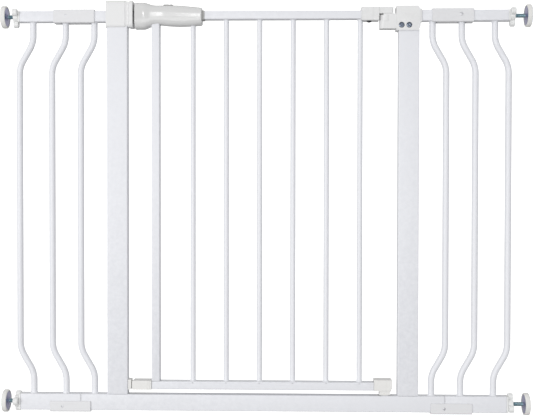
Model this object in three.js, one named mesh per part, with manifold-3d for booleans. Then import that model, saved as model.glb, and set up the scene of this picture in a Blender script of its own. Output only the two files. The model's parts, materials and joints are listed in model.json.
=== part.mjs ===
// A pressure-mounted, walk-through baby gate with one bent-bar extension panel on each side.
//
// Units are millimetres. X runs along the gate, -X to the latch side and +X to the hinge side.
// -Y is the front, +Z is up. The origin is on the floor, midway between the wall pads.
//
// The welded main frame is a threshold rail, two posts and a short stub rail and bent bar beyond
// each post. A joiner couples each extension panel to it. A screw spindle with a rubber pad stands
// out of each of the four rail ends, and its hand knob winds it out against the wall. The door
// turns and lifts on a sprung pivot at the hinge post, and its bolt shoots into the latch housing.

import * as THREE from "three";
import { mergeVertices } from "three/addons/utils/BufferGeometryUtils.js";
import Module from "manifold-3d";

const wasm = await Module();
wasm.setup();

// ---- Driving dimensions ----

const GAP = 0.3; // clearance between pieces that touch
const WALL = 1.2; // tube wall
const DEPTH = 20; // front-to-back size of every rectangular tube
const CORNER = 2; // tube corner radius

const CLEAR_HALF = 247; // half of the clear width between the posts
const POST_W = 38;
const POST_OUT = CLEAR_HALF + POST_W;
const SEAM_X = POST_OUT + 48.5; // where a panel's rails meet the main frame's
const RAIL_END_X = 445.5;
const WALL_X = 483; // outer face of the wall pads, halfway between their places on the two sides
const SCREWED_OUT = 4; // the right-hand pads are this much further out, and the left-hand ones further in

const PAD_R = 20.5;
const BOTTOM_AXIS = PAD_R; // height of the lower spindles, so the pads just reach the floor
const TOP_AXIS = 728.5;
const BOTTOM_H = 30;
const TOP_H = 20;
const BOTTOM_TOP = BOTTOM_AXIS + BOTTOM_H / 2; // top face of the threshold
const TOP_UNDER = TOP_AXIS - TOP_H / 2;
const POST_TOP = 742;

const BENT_R = 6; // bent bars
const BENT_BOW = 26; // how far their middle stands outwards
const BENT_X = [309, 362, 422]; // where they meet the rails
const BEND_R = 50;
const BEND_ANGLE = Math.PI / 6;
const BEND_INSET = 24; // straight length next to each rail

const DOOR_H = 15; // door rail height
const DOOR_BOTTOM = 44.8; // underside of the door's bottom rail
const DOOR_TOP = 737.4; // top of the door's top rail
const FOOT_HIGH = DOOR_BOTTOM + 19.9;
const CATCH_X = -238.8; // the bottom catch's face towards the latch post
const CATCH_HIGH = DOOR_BOTTOM + 16.2;
const STILE_X = -195.5;
const STILE_W = 15;
const BAR_R = 5;
const BAR_FIRST = -127.5;
const BAR_PITCH = 61.1;
const BAR_COUNT = 6;

const HINGE_X = 224.5; // the door's vertical pivot line
const PIN_HALF = 2.8; // half the width of the square pivot pin
const PIN_HEAD_R = 4.1;
const PIN_BORE_R = PIN_HEAD_R + GAP;

// ---- Materials ----

const paint = new THREE.MeshStandardMaterial({ color: 0xe9eaef, roughness: 0.42, metalness: 0 });
const plastic = new THREE.MeshStandardMaterial({ color: 0xe4e4e1, roughness: 0.45, metalness: 0 });
const rubber = new THREE.MeshStandardMaterial({ color: 0xe8e7e2, roughness: 0.7, metalness: 0 });
const zinc = new THREE.MeshStandardMaterial({ color: 0xa3abb8, roughness: 0.3, metalness: 1 });
const springSteel = new THREE.MeshStandardMaterial({ color: 0x7d8288, roughness: 0.35, metalness: 1 });

// ---- Geometry helpers ----

const X = new THREE.Vector3(1, 0, 0);
const Y = new THREE.Vector3(0, 1, 0);
const Z = new THREE.Vector3(0, 0, 1);
// A shape drawn in (y, z) and extruded along +X, or a lathe turned about +Z.
const SHAPE_TO_X = new THREE.Matrix4().makeBasis(Y, Z, X);
const LATHE_TO_Z = SHAPE_TO_X;
const LATHE_TO_X = new THREE.Matrix4().makeBasis(Z, X, Y);
// A shape drawn in (x, z) and extruded towards the front.
const XZ_TO_FRONT = new THREE.Matrix4().makeBasis(X, Z, Y.clone().negate());

// A geometry as a manifold solid, for joining and cutting.
function toSolid(geometry) {
  const bare = geometry.index ? geometry.toNonIndexed() : geometry.clone();
  bare.deleteAttribute("normal");
  bare.deleteAttribute("uv");
  const merged = mergeVertices(bare, 1e-3);
  const vertProperties = merged.attributes.position.array;
  const triVerts = new Uint32Array(merged.index.array);
  return new wasm.Manifold(new wasm.Mesh({ numProp: 3, vertProperties, triVerts }));
}

function toGeometry(solid) {
  const mesh = solid.getMesh();
  const count = mesh.vertProperties.length / mesh.numProp;
  const position = new Float32Array(count * 3);
  for (let i = 0; i < count; i += 1) {
    const at = i * mesh.numProp;
    position.set(mesh.vertProperties.subarray(at, at + 3), i * 3);
  }
  const geometry = new THREE.BufferGeometry();
  geometry.setAttribute("position", new THREE.BufferAttribute(position, 3));
  geometry.setIndex(new THREE.BufferAttribute(mesh.triVerts, 1));
  geometry.computeVertexNormals();
  return geometry;
}

function join(...geometries) {
  return toGeometry(geometries.map(toSolid).reduce((sum, solid) => sum.add(solid)));
}

function cut(body, ...tools) {
  return toGeometry(tools.map(toSolid).reduce((left, tool) => left.subtract(tool), toSolid(body)));
}

function common(a, b) {
  return toGeometry(toSolid(a).intersect(toSolid(b)));
}

// An axis-aligned box between two corners.
function box(x0, x1, y0, y1, z0, z1) {
  const made = new THREE.BoxGeometry(x1 - x0, y1 - y0, z1 - z0);
  return made.translate((x0 + x1) / 2, (y0 + y1) / 2, (z0 + z1) / 2);
}

function rodX(radius, x0, x1, y, z, sides = 16) {
  const made = new THREE.CylinderGeometry(radius, radius, x1 - x0, sides);
  return made.applyMatrix4(LATHE_TO_X).translate((x0 + x1) / 2, y, z);
}

function rodY(radius, x, y0, y1, z, sides = 16) {
  const made = new THREE.CylinderGeometry(radius, radius, y1 - y0, sides);
  return made.translate(x, (y0 + y1) / 2, z);
}

function rodZ(radius, x, y, z0, z1, sides = 16) {
  const made = new THREE.CylinderGeometry(radius, radius, z1 - z0, sides);
  return made.applyMatrix4(LATHE_TO_Z).translate(x, y, (z0 + z1) / 2);
}

function roundedRect(width, height, radius, PathType = THREE.Shape) {
  const path = new PathType();
  const [x, y, quarter] = [width / 2 - radius, height / 2 - radius, Math.PI / 2];
  path.absarc(x, y, radius, 0, quarter);
  path.absarc(-x, y, radius, quarter, 2 * quarter);
  path.absarc(-x, -y, radius, 2 * quarter, 3 * quarter);
  path.absarc(x, -y, radius, 3 * quarter, 4 * quarter);
  return path;
}

function tubeSection(width, height) {
  const section = roundedRect(width, height, CORNER);
  const inner = roundedRect(width - 2 * WALL, height - 2 * WALL, CORNER - WALL, THREE.Path);
  section.holes.push(inner);
  return section;
}

const TUBE_OPTIONS = { bevelEnabled: false, curveSegments: 1 };

// A rectangular tube along X, with its section centred on y = 0.
function tubeX(x0, x1, height, z) {
  const options = { ...TUBE_OPTIONS, depth: x1 - x0 };
  const made = new THREE.ExtrudeGeometry(tubeSection(DEPTH, height), options);
  return made.applyMatrix4(SHAPE_TO_X).translate(x0, 0, z);
}

// A rectangular tube along Z.
function tubeZ(x, width, z0, z1) {
  const options = { ...TUBE_OPTIONS, depth: z1 - z0 };
  return new THREE.ExtrudeGeometry(tubeSection(width, DEPTH), options).translate(x, 0, z0);
}

// A solid lofted along X. Each station is [x, mid height, half height, half depth], and its
// outline is a superellipse: 1 is an ellipse, and towards 0 it becomes a rectangle.
function loftX(stations, squareness, sides) {
  const rows = stations.length - 1;
  const made = new THREE.CylinderGeometry(1, 1, rows, sides, rows).applyMatrix4(LATHE_TO_X);
  const at = made.attributes.position;
  const bulge = (value) => Math.sign(value) * Math.abs(value) ** squareness;
  for (let i = 0; i < at.count; i += 1) {
    const [x, mid, halfHeight, halfDepth] = stations[Math.round(at.getX(i) + rows / 2)];
    const length = Math.hypot(at.getY(i), at.getZ(i));
    const [c, s] = length > 0.5 ? [at.getY(i) / length, at.getZ(i) / length] : [0, 0];
    const [y, z] = [Math.abs(c) < 1e-6 ? 0 : bulge(c), Math.abs(s) < 1e-6 ? 0 : bulge(s)];
    at.setXYZ(i, x, halfDepth * y, mid + halfHeight * z);
  }
  return made;
}

// A path through given points, which a sweep visits one by one.
class PointPath extends THREE.Curve {
  constructor(points) {
    super();
    this.points = points;
  }

  getPoint(t, target = new THREE.Vector3()) {
    const at = t * (this.points.length - 1);
    const i = Math.min(Math.floor(at), this.points.length - 2);
    return target.lerpVectors(this.points[i], this.points[i + 1], at - i);
  }

  getPointAt(u, target) {
    return this.getPoint(u, target);
  }

  getTangentAt(u, target) {
    return this.getTangent(u, target);
  }
}

function sweep(points, radius, sides) {
  const section = new THREE.Shape().absarc(0, 0, radius, 0, 2 * Math.PI);
  const extrudePath = new PointPath(points);
  return new THREE.ExtrudeGeometry(section, {
    steps: points.length - 1,
    curveSegments: sides / 2,
    extrudePath,
  });
}

const gate = new THREE.Group();
gate.position.x = -SCREWED_OUT; // so the origin is midway between the pads

function add(parent, name, geometry, material) {
  const mesh = new THREE.Mesh(geometry, material);
  mesh.name = name;
  parent.add(mesh);
}

// ---- Side panels: everything beyond a post that is the same on both sides ----

// One end of a bent bar, from its rail to the end of the second bend: two equal and opposite
// arcs with a straight slope between them. Heights are measured away from the rail.
function bendPoints(segments) {
  const rise = BEND_R * Math.sin(BEND_ANGLE);
  const shift = BEND_R * (1 - Math.cos(BEND_ANGLE));
  const slope = (BENT_BOW - 2 * shift) / Math.tan(BEND_ANGLE);
  const points = [];
  for (let i = 0; i <= segments; i += 1) {
    const turn = (BEND_ANGLE * i) / segments;
    const [along, across] = [BEND_R * Math.sin(turn), BEND_R * (1 - Math.cos(turn))];
    points.push([across, BEND_INSET + along]);
  }
  for (let i = segments; i >= 0; i -= 1) {
    const turn = (BEND_ANGLE * i) / segments;
    const [along, across] = [BEND_R * Math.sin(turn), BEND_R * (1 - Math.cos(turn))];
    points.push([BENT_BOW - across, BEND_INSET + 2 * rise + slope - along]);
  }
  return points;
}

function bentBar(x) {
  const [low, high] = [BOTTOM_TOP + GAP, TOP_UNDER - GAP];
  const ends = bendPoints(4);
  const lower = ends.map(([out, up]) => new THREE.Vector3(x + out, 0, low + up));
  const upper = ends.map(([out, down]) => new THREE.Vector3(x + out, 0, high - down)).reverse();
  const [foot, head] = [new THREE.Vector3(x, 0, low), new THREE.Vector3(x, 0, high)];
  return sweep([foot, ...lower, ...upper, head], BENT_R, 10);
}

const JOINER_WALL = 2;
const JOINER_IN = 307.5; // inner end of a joiner, towards the post
const JOINER_OUT = 382.5;
const JOINER_LIP = 17.5; // how far the lower joiner's sides come up beside the rail

// A sleeve round both top rails, over their seam.
function topJoiner() {
  const [halfOut, halfIn] = [DEPTH / 2 + GAP + JOINER_WALL, DEPTH / 2 + GAP];
  const [x0, x1, z] = [JOINER_IN, JOINER_OUT, TOP_AXIS];
  const outer = box(x0, x1, -halfOut, halfOut, z - halfOut, z + halfOut);
  const bore = box(x0 - 1, x1 + 1, -halfIn, halfIn, z - halfIn, z + halfIn);
  // The bent bars at both ends of the sleeve pass up through its floor.
  const slot = 2 * BENT_R + 2;
  const slots = [BENT_X[0], BENT_X[1]].map((x) => {
    const half = slot / 2;
    return box(x - half, x + half, -half, half, z - halfOut - 1, z);
  });
  return cut(outer, bore, ...slots);
}

// An open-topped channel under both bottom rails, below their seam.
function bottomJoiner(shift) {
  const [halfOut, halfIn] = [DEPTH / 2 + GAP + JOINER_WALL, DEPTH / 2 + GAP];
  const under = BOTTOM_AXIS - BOTTOM_H / 2 - GAP;
  const top = under + JOINER_LIP;
  const [x0, x1] = [JOINER_IN + shift, JOINER_OUT + shift];
  const outer = box(x0, x1, -halfOut, halfOut, under - JOINER_WALL, top);
  return cut(outer, box(x0 - 1, x1 + 1, -halfIn, halfIn, under, top + 1));
}

const SPINDLE_R = 4;
const PLUG_FLANGE = 2.8;
const PLUG_REACH = 16;
const KNOB_X = RAIL_END_X + PLUG_FLANGE + 2 * GAP;
const KNOB_T = 9;
const DISC_X = WALL_X - 8; // inner face of the spindle's disc
const DISC_R = 17;
const DISC_T = 1.5;
const SPINDLE_LENGTH = 95;

// A plug that closes a rail end and guides its spindle.
function endPlug(height, z) {
  const inside = 2 * (WALL + GAP);
  const [halfD, halfH] = [(DEPTH - inside) / 2, (height - inside) / 2];
  const x = RAIL_END_X + GAP;
  const spigot = box(x - PLUG_REACH, x + 1, -halfD, halfD, z - halfH, z + halfH);
  const flangeShape = roundedRect(DEPTH, height, CORNER);
  const flange = new THREE.ExtrudeGeometry(flangeShape, { ...TUBE_OPTIONS, depth: PLUG_FLANGE });
  flange.applyMatrix4(SHAPE_TO_X).translate(x, 0, z);
  const bore = rodX(SPINDLE_R + 0.6, x - PLUG_REACH - 1, x + PLUG_FLANGE + 1, 0, z);
  return cut(join(spigot, flange), bore);
}

// A three-lobed hand knob with its nut thread bored through. turn sets where its lobes point.
function handKnob(z, turn) {
  const [hubR, lobeR, lobeAt] = [11, 6.5, 13.5];
  const [x0, x1] = [KNOB_X, KNOB_X + KNOB_T];
  const lobes = [0, 1, 2].map((i) => {
    const angle = turn + (i * 2 * Math.PI) / 3;
    const [y, up] = [lobeAt * Math.sin(angle), lobeAt * Math.cos(angle)];
    return rodX(lobeR, x0, x1, y, z + up, 12);
  });
  const body = join(rodX(hubR, x0, x1, 0, z, 18), ...lobes);
  return cut(body, rodX(SPINDLE_R + GAP, x0 - 1, x1 + 1, 0, z));
}

// A threaded rod with a shallow-coned disc at its outer end.
function spindle(z) {
  const [cone, hub] = [2.5, 7];
  const inner = DISC_X - SPINDLE_LENGTH;
  const profile = [
    new THREE.Vector2(0, inner),
    new THREE.Vector2(SPINDLE_R - 0.8, inner),
    new THREE.Vector2(SPINDLE_R, inner + 1),
    new THREE.Vector2(SPINDLE_R, DISC_X - cone),
    new THREE.Vector2(hub, DISC_X - cone),
    new THREE.Vector2(DISC_R, DISC_X),
    new THREE.Vector2(DISC_R, DISC_X + DISC_T),
    new THREE.Vector2(0, DISC_X + DISC_T),
  ];
  return new THREE.LatheGeometry(profile, 20).applyMatrix4(LATHE_TO_X).translate(0, 0, z);
}

// A rubber dish that grips the disc's rim and bears on the wall with its flat outer face.
function wallPad(z) {
  const [seatR, seatT, edge, lip] = [DISC_R + GAP, DISC_T + 2 * GAP, 1.5, 0.6];
  const seat = DISC_X - GAP;
  const profile = [
    new THREE.Vector2(0, WALL_X),
    new THREE.Vector2(0, seat + seatT),
    new THREE.Vector2(seatR, seat + seatT),
    new THREE.Vector2(seatR, seat),
    new THREE.Vector2(seatR + 0.1, seat - lip),
    new THREE.Vector2(PAD_R - edge, seat - lip),
    new THREE.Vector2(PAD_R, seat + edge),
    new THREE.Vector2(PAD_R, WALL_X - edge),
    new THREE.Vector2(PAD_R - edge, WALL_X),
    new THREE.Vector2(0, WALL_X),
  ];
  return new THREE.LatheGeometry(profile, 24).applyMatrix4(LATHE_TO_X).translate(0, 0, z);
}

// The room that a moulding on a post leaves for the post's top. side is -1 or 1.
function postRoom(side) {
  const half = DEPTH / 2 + GAP;
  const [mid, halfWidth] = [side * (CLEAR_HALF + POST_W / 2), POST_W / 2 + GAP];
  return box(mid - halfWidth, mid + halfWidth, -half, half, POST_TOP - 100, POST_TOP + GAP);
}

// The post beside the doorway, with any screw holes bored through its front wall.
function post(holes) {
  const tube = tubeZ(CLEAR_HALF + POST_W / 2, POST_W, BOTTOM_TOP + GAP, POST_TOP);
  return holes.length > 0 ? cut(tube, ...holes) : tube;
}

function sidePanel({ side, sign, lowerKnobTurn, joinerShift, postHoles }) {
  const panel = new THREE.Group();
  panel.scale.x = sign;
  gate.add(panel);
  const piece = (name, geometry, material = paint) => add(panel, `${side}_${name}`, geometry, material);

  piece("post", post(postHoles));
  piece("stub_rail", tubeX(POST_OUT + GAP, SEAM_X - GAP, TOP_H, TOP_AXIS));
  piece("extension_top_rail", tubeX(SEAM_X + GAP, RAIL_END_X, TOP_H, TOP_AXIS));
  piece("extension_bottom_rail", tubeX(SEAM_X + GAP, RAIL_END_X, BOTTOM_H, BOTTOM_AXIS));
  piece("frame_bar", bentBar(BENT_X[0]));
  piece("extension_inner_bar", bentBar(BENT_X[1]));
  piece("extension_outer_bar", bentBar(BENT_X[2]));
  piece("top_joiner", topJoiner(), plastic);
  piece("bottom_joiner", bottomJoiner(joinerShift), plastic);

  for (const [level, z, height, turn] of [
    ["top", TOP_AXIS, TOP_H, Math.PI],
    ["bottom", BOTTOM_AXIS, BOTTOM_H, lowerKnobTurn],
  ]) {
    piece(`${level}_end_plug`, endPlug(height, z), plastic);
    piece(`${level}_hand_knob`, handKnob(z, turn), plastic);
    piece(`${level}_spindle`, spindle(z).translate(sign * SCREWED_OUT, 0, 0), zinc);
    piece(`${level}_wall_pad`, wallPad(z).translate(sign * SCREWED_OUT, 0, 0), rubber);
  }
}

// ---- Threshold and its pivot ----

const BUSH_R = 6.5;
const BUSH_FLANGE = 1.2;
const PEG_R = 4.2;
const PEG_BOTTOM = 12;

function thresholdRail() {
  const rail = tubeX(-(SEAM_X - GAP), SEAM_X - GAP, BOTTOM_H, BOTTOM_AXIS);
  return cut(rail, rodZ(BUSH_R + GAP, HINGE_X, 0, BOTTOM_AXIS, BOTTOM_TOP + 1));
}

// A flanged cup let into the threshold, in which the door's peg turns and rises.
function pivotBush() {
  const [floor, wallBottom, bore] = [PEG_BOTTOM - 1.5, PEG_BOTTOM - 3.5, PEG_R + 0.5];
  const [under, top] = [BOTTOM_TOP + GAP, BOTTOM_TOP + GAP + BUSH_FLANGE];
  const profile = [
    new THREE.Vector2(0, wallBottom),
    new THREE.Vector2(BUSH_R, wallBottom),
    new THREE.Vector2(BUSH_R, under),
    new THREE.Vector2(BUSH_R + 3, under),
    new THREE.Vector2(BUSH_R + 3, top),
    new THREE.Vector2(bore, top),
    new THREE.Vector2(bore, floor),
    new THREE.Vector2(0, floor),
  ];
  return new THREE.LatheGeometry(profile, 16).applyMatrix4(LATHE_TO_Z).translate(HINGE_X, 0, 0);
}

// ---- Latch housing and keeper on the latch post ----

const LATCH_FACE = -236.5; // the mouth that faces the door
const LATCH_TOP = 757;
const LATCH_BOTTOM = 707.5;
const [BOLT_LOW, BOLT_HIGH, BOLT_DEEP] = [718.5, 737.5, 7.5]; // the bolt's head
const POCKET_GAP = 2; // clearance over and under the bolt
const POCKET_DEPTH = 8.5;

function latchHousing() {
  const [left, shoulder] = [-(POST_OUT + 1.7), -(CLEAR_HALF - 1)];
  const bodyMid = (LATCH_TOP + LATCH_BOTTOM) / 2;
  const bodyHalf = (LATCH_TOP - LATCH_BOTTOM) / 2;
  const [flangeMid, flangeHalf, flangeDeep] = [731.8, 24.4, 17];
  const shell = loftX(
    [
      [left, bodyMid, bodyHalf - 1.5, 12],
      [left + 2, bodyMid, bodyHalf, 13.2],
      [shoulder - 6, bodyMid, bodyHalf, 13.2],
      [shoulder - 2.5, bodyMid, bodyHalf - 0.2, 11.9],
      [shoulder + 1, bodyMid, bodyHalf - 0.2, 11.7],
      [shoulder + 3, flangeMid, flangeHalf - 0.8, flangeDeep - 1],
      [shoulder + 4, flangeMid, flangeHalf, flangeDeep],
      [LATCH_FACE - 1.5, flangeMid, flangeHalf, flangeDeep],
      [LATCH_FACE, flangeMid, flangeHalf - 1.5, flangeDeep - 1.5],
    ],
    0.32,
    28,
  );
  const half = DEPTH / 2 + GAP;
  const postSocket = postRoom(-1);
  const railWindow = box(left - 1, -POST_OUT, -half, half, TOP_UNDER - GAP, TOP_AXIS + TOP_H / 2 + GAP);
  const [low, high, wide] = [BOLT_LOW - POCKET_GAP, BOLT_HIGH + POCKET_GAP, BOLT_DEEP + 1.5];
  const pocket = box(LATCH_FACE - POCKET_DEPTH, LATCH_FACE + 1, -wide, wide, low, high);
  return cut(shell, postSocket, railWindow, pocket);
}

// A pad on the post that the foot of the door closes against.
function catchKeeper() {
  const [face, thick, deep, notch] = [-(CLEAR_HALF - GAP), 6, 9, 3.5];
  const [low, high] = [CATCH_HIGH - 17, CATCH_HIGH + 1.5];
  const pad = box(face, face + thick, -deep, deep, low, high);
  return cut(pad, box(face + thick / 2, face + thick + 1, -notch, notch, low + 7, high + 1));
}

// ---- Hinge bracket on the hinge post ----

const BRACKET_X = 242.6; // its wall towards the doorway
const BRACKET_TOP = 745.4;
const BRACKET_BOTTOM = 701;
const HOUSING_BOTTOM = 704.5; // underside of the spring housing
const BRACKET_DEEP = DEPTH / 2 + 3.2;
const ARM_TOP = 719; // top of the spring housing
const BOSS_R = 12.2;
const BOSS_TOP = 729; // top of the round boss above it
const BLOCK_TOP = 731.5; // top of the block that the door's tongue rests on
const HOUSING_DEEP = 11.2;
const SPRING_R = 7.7;
const WIRE_R = 0.7;
const SCREW_X = [252, 265.8];
const SCREW_Z = 710.5;
const SCREW_R = 2.2;
const HEAD_R = 5;
const RECESS = 1.6; // depth of the screws' counterbores

// A block standing on z0 whose corner towards the doorway is rounded.
function roundedBlock(x0, x1, deep, radius, z0, z1) {
  const plan = roundedRect(x1 - x0, 2 * deep, radius);
  const made = new THREE.ExtrudeGeometry(plan, { ...TUBE_OPTIONS, curveSegments: 3, depth: z1 - z0 });
  return made.translate((x0 + x1) / 2, 0, z0);
}

// The post's cap, seen from the front, with its outer top corner cut off.
function bracketCap() {
  const [right, slantWide, slantHigh] = [POST_OUT + 1.3, 3.5, 7];
  const front = new THREE.Shape();
  front.moveTo(BRACKET_X, BRACKET_BOTTOM);
  front.lineTo(right, BRACKET_BOTTOM);
  front.lineTo(right, BRACKET_TOP - slantHigh);
  front.lineTo(right - slantWide, BRACKET_TOP);
  front.lineTo(BRACKET_X, BRACKET_TOP);
  const made = new THREE.ExtrudeGeometry(front, { ...TUBE_OPTIONS, depth: 2 * BRACKET_DEEP });
  return made.applyMatrix4(XZ_TO_FRONT).translate(0, BRACKET_DEEP, 0);
}

function hingeBracket() {
  const [collarDeep, railTop] = [BRACKET_DEEP - 1, TOP_AXIS + TOP_H / 2];
  const collar = box(POST_OUT, POST_OUT + 3.6, -collarDeep, collarDeep, TOP_UNDER - 3, railTop + 2);
  const inside = BRACKET_X + 4;
  const housing = roundedBlock(HINGE_X - 10.8, inside, HOUSING_DEEP, 5, HOUSING_BOTTOM, ARM_TOP);
  const block = box(HINGE_X - 5.2, BRACKET_X + 1, -HOUSING_DEEP, HOUSING_DEEP, ARM_TOP - 1, BLOCK_TOP);
  const boss = rodZ(BOSS_R, HINGE_X, 0, ARM_TOP - 1, BOSS_TOP, 20);
  const half = DEPTH / 2 + GAP;
  const postSocket = postRoom(1);
  const railWindow = box(POST_OUT, POST_OUT + 9, -half, half, TOP_UNDER - GAP, railTop + GAP);
  const springBore = rodZ(SPRING_R + WIRE_R + 0.9, HINGE_X, 0, HOUSING_BOTTOM - 1, ARM_TOP - 1.5, 20);
  const pinBore = rodZ(PIN_BORE_R, HINGE_X, 0, ARM_TOP - 3, BLOCK_TOP + 1, 14);
  const screwHoles = SCREW_X.flatMap((x) => [
    rodY(SCREW_R + 0.6, x, -BRACKET_DEEP, -half + 1, SCREW_Z, 12),
    rodY(HEAD_R + GAP, x, -BRACKET_DEEP - 1, -BRACKET_DEEP + RECESS, SCREW_Z, 16),
  ]);
  const whole = join(bracketCap(), collar, housing, block, boss);
  return cut(whole, postSocket, railWindow, springBore, pinBore, ...screwHoles);
}

// A pan-head screw, let into the bracket's front wall, that holds it to the post.
function hingeScrew(x) {
  const seat = -BRACKET_DEEP + RECESS - GAP;
  const head = rodY(HEAD_R, x, seat - 1.8, seat, SCREW_Z, 16);
  const shank = rodY(SCREW_R, x, seat - 0.5, -DEPTH / 2 + WALL + 6, SCREW_Z, 10);
  return join(head, shank);
}

// The sleeve that the closing spring turns: square-bored for the door's pin, which slides in it.
function springSleeve() {
  const flangeTop = HOUSING_BOTTOM + 1.7;
  const flange = rodZ(8.4, HINGE_X, 0, HOUSING_BOTTOM + GAP, flangeTop, 20);
  const barrel = rodZ(6, HINGE_X, 0, flangeTop - 1, ARM_TOP - 2.2, 16);
  const half = PIN_HALF + GAP;
  const [x0, x1] = [HINGE_X - half, HINGE_X + half];
  return cut(join(flange, barrel), box(x0, x1, -half, half, HOUSING_BOTTOM - 1, ARM_TOP));
}

function closingSpring() {
  const [turns, perTurn, low, high] = [4, 12, HOUSING_BOTTOM + 3, ARM_TOP - 3];
  const points = [];
  for (let i = 0; i <= turns * perTurn; i += 1) {
    const angle = (2 * Math.PI * i) / perTurn;
    const z = low + ((high - low) * i) / (turns * perTurn);
    const [x, y] = [HINGE_X + SPRING_R * Math.cos(angle), SPRING_R * Math.sin(angle)];
    points.push(new THREE.Vector3(x, y, z));
  }
  return sweep(points, WIRE_R, 6);
}

// ---- Door ----

const DOOR_LEFT = STILE_X - STILE_W / 2;
const TONGUE_UNDER = BLOCK_TOP + GAP;
const ARM_LEFT = 179.5;
const ARM_STEP = HINGE_X - 13; // where the hinge arm thins to its tongue
const ARM_HIGH = 743.6;
const ARM_DEEP = 12.4; // half the depth of the arm's grip
const ARM_SKIN = 2; // plastic left over the pin's head
const ARM_WEB = 5; // solid wall at the end of the rail's socket
const TONGUE_REACH = 13.2; // from the axis to the tongue's end
const PIN_SUNK = 2; // how far up in the tongue the pin's head starts
const SPIGOT_REACH = 22;
const BLOCK_DEEP = 12; // half the depth of the foot and of the bottom catch
const FOOT_LEFT = 204.5;
const FOOT_RIGHT = 238;

function doorRail(z) {
  const right = z > TOP_UNDER ? ARM_STEP - ARM_WEB : FOOT_LEFT - GAP;
  return tubeX(DOOR_LEFT, right, DOOR_H, z);
}

// The moulded arm that grips the top rail's end and carries the pivot pin in its tongue.
function hingeArm() {
  const grip = box(ARM_LEFT, ARM_STEP, -ARM_DEEP, ARM_DEEP, ARM_TOP + 2 * GAP, ARM_HIGH);
  const [buried, end] = [ARM_STEP - ARM_WEB, HINGE_X + TONGUE_REACH];
  const tongue = roundedBlock(buried, end, HOUSING_DEEP, 4, TONGUE_UNDER, ARM_HIGH);
  const [half, low, high] = [DEPTH / 2 + GAP, DOOR_TOP - DOOR_H - GAP, DOOR_TOP + GAP];
  const railSocket = box(ARM_LEFT - 1, ARM_STEP - ARM_WEB + GAP, -half, half, low, high);
  const lastBar = BAR_FIRST + (BAR_COUNT - 1) * BAR_PITCH;
  const barBore = rodZ(BAR_R + GAP, lastBar, 0, ARM_TOP - 1, low + 1);
  const pinBore = rodZ(PIN_BORE_R, HINGE_X, 0, TONGUE_UNDER - 1, ARM_HIGH - ARM_SKIN, 14);
  return cut(join(grip, tongue), railSocket, barBore, pinBore);
}

// A square steel pin with a round head held in the tongue.
function pivotPin() {
  const [half, bottom, head] = [PIN_HALF, HOUSING_BOTTOM + 1, TONGUE_UNDER + PIN_SUNK];
  const shank = box(HINGE_X - half, HINGE_X + half, -half, half, bottom, head + 1);
  return join(shank, rodZ(PIN_HEAD_R, HINGE_X, 0, head, ARM_HIGH - ARM_SKIN - GAP, 12));
}

// The tongue of a moulding that plugs into the door's bottom rail.
function railSpigot(x0, x1) {
  const inset = WALL + GAP;
  const [railMid, halfH, halfD] = [DOOR_BOTTOM + DOOR_H / 2, DOOR_H / 2 - inset, DEPTH / 2 - inset];
  return box(x0, x1, -halfD, halfD, railMid - halfH, railMid + halfH);
}

// The moulded foot: a block plugged into the bottom rail, a tapered neck and the pivot peg.
function hingeFoot() {
  const block = box(FOOT_LEFT, FOOT_RIGHT, -BLOCK_DEEP, BLOCK_DEEP, DOOR_BOTTOM, FOOT_HIGH);
  const spigot = railSpigot(FOOT_LEFT - SPIGOT_REACH, FOOT_LEFT + 1);
  const neckBottom = BOTTOM_TOP + GAP + BUSH_FLANGE + GAP;
  const neck = new THREE.Shape();
  neck.moveTo(HINGE_X - 12, DOOR_BOTTOM + 1);
  neck.lineTo(HINGE_X - 9.5, DOOR_BOTTOM - 3);
  neck.lineTo(HINGE_X - 10.5, neckBottom);
  neck.lineTo(HINGE_X + 9.5, neckBottom);
  neck.lineTo(HINGE_X + 9.5, DOOR_BOTTOM - 3);
  neck.lineTo(HINGE_X + 12, DOOR_BOTTOM + 1);
  const deep = 9;
  const slab = new THREE.ExtrudeGeometry(neck, { ...TUBE_OPTIONS, depth: 2 * deep });
  slab.applyMatrix4(XZ_TO_FRONT).translate(0, deep, 0);
  const peg = rodZ(PEG_R, HINGE_X, 0, PEG_BOTTOM, neckBottom + 1);
  return join(block, spigot, slab, peg);
}

// The moulded nose plugged into the other end of the bottom rail.
function bottomCatch() {
  const right = DOOR_LEFT - GAP;
  const nose = box(CATCH_X, right, -BLOCK_DEEP, BLOCK_DEEP, DOOR_BOTTOM - 0.5, CATCH_HIGH);
  return join(nose, railSpigot(right - 1, right + SPIGOT_REACH));
}

// ---- Handle and latch bolt ----

const NOSE_X = -233.4;
const HANDLE_END = -110.6;
const HANDLE_SHELL = 2.4;
const BOLT_TRAVEL = 12;
const BOLT_FACE = NOSE_X + 2.6;
const BAR_OVER = 741.2; // top of the bolt's draw bar
const BUTTON_X = -173;
const BUTTON_STEM = 3; // half of its stem's width
const BUTTON_UNDER = 749.2;

// The handle's silhouette: [x, underside, top, half depth].
const HANDLE_LINE = [
  [NOSE_X, 706.4, 752.8, 16.4],
  [NOSE_X + 1, 705.4, 753.8, 17.4],
  [-225, 705.4, 753.9, 17.6],
  [-217, 705.6, 753.8, 17.4],
  [-208.5, 708.6, 751.6, 16.7],
  [-200, 712.2, 749.1, 16],
  [-187, 712.8, 748.7, 15.6],
  [-172, 711.3, 748.7, 16.2],
  [-152, 710.3, 748.2, 16.5],
  [-132, 710.9, 746.3, 15.8],
  [HANDLE_END - 3, 712.2, 744.4, 14.6],
  [HANDLE_END - 1, 712.7, 743.9, 14.2],
  [HANDLE_END, 713.8, 742.8, 13],
];

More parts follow.
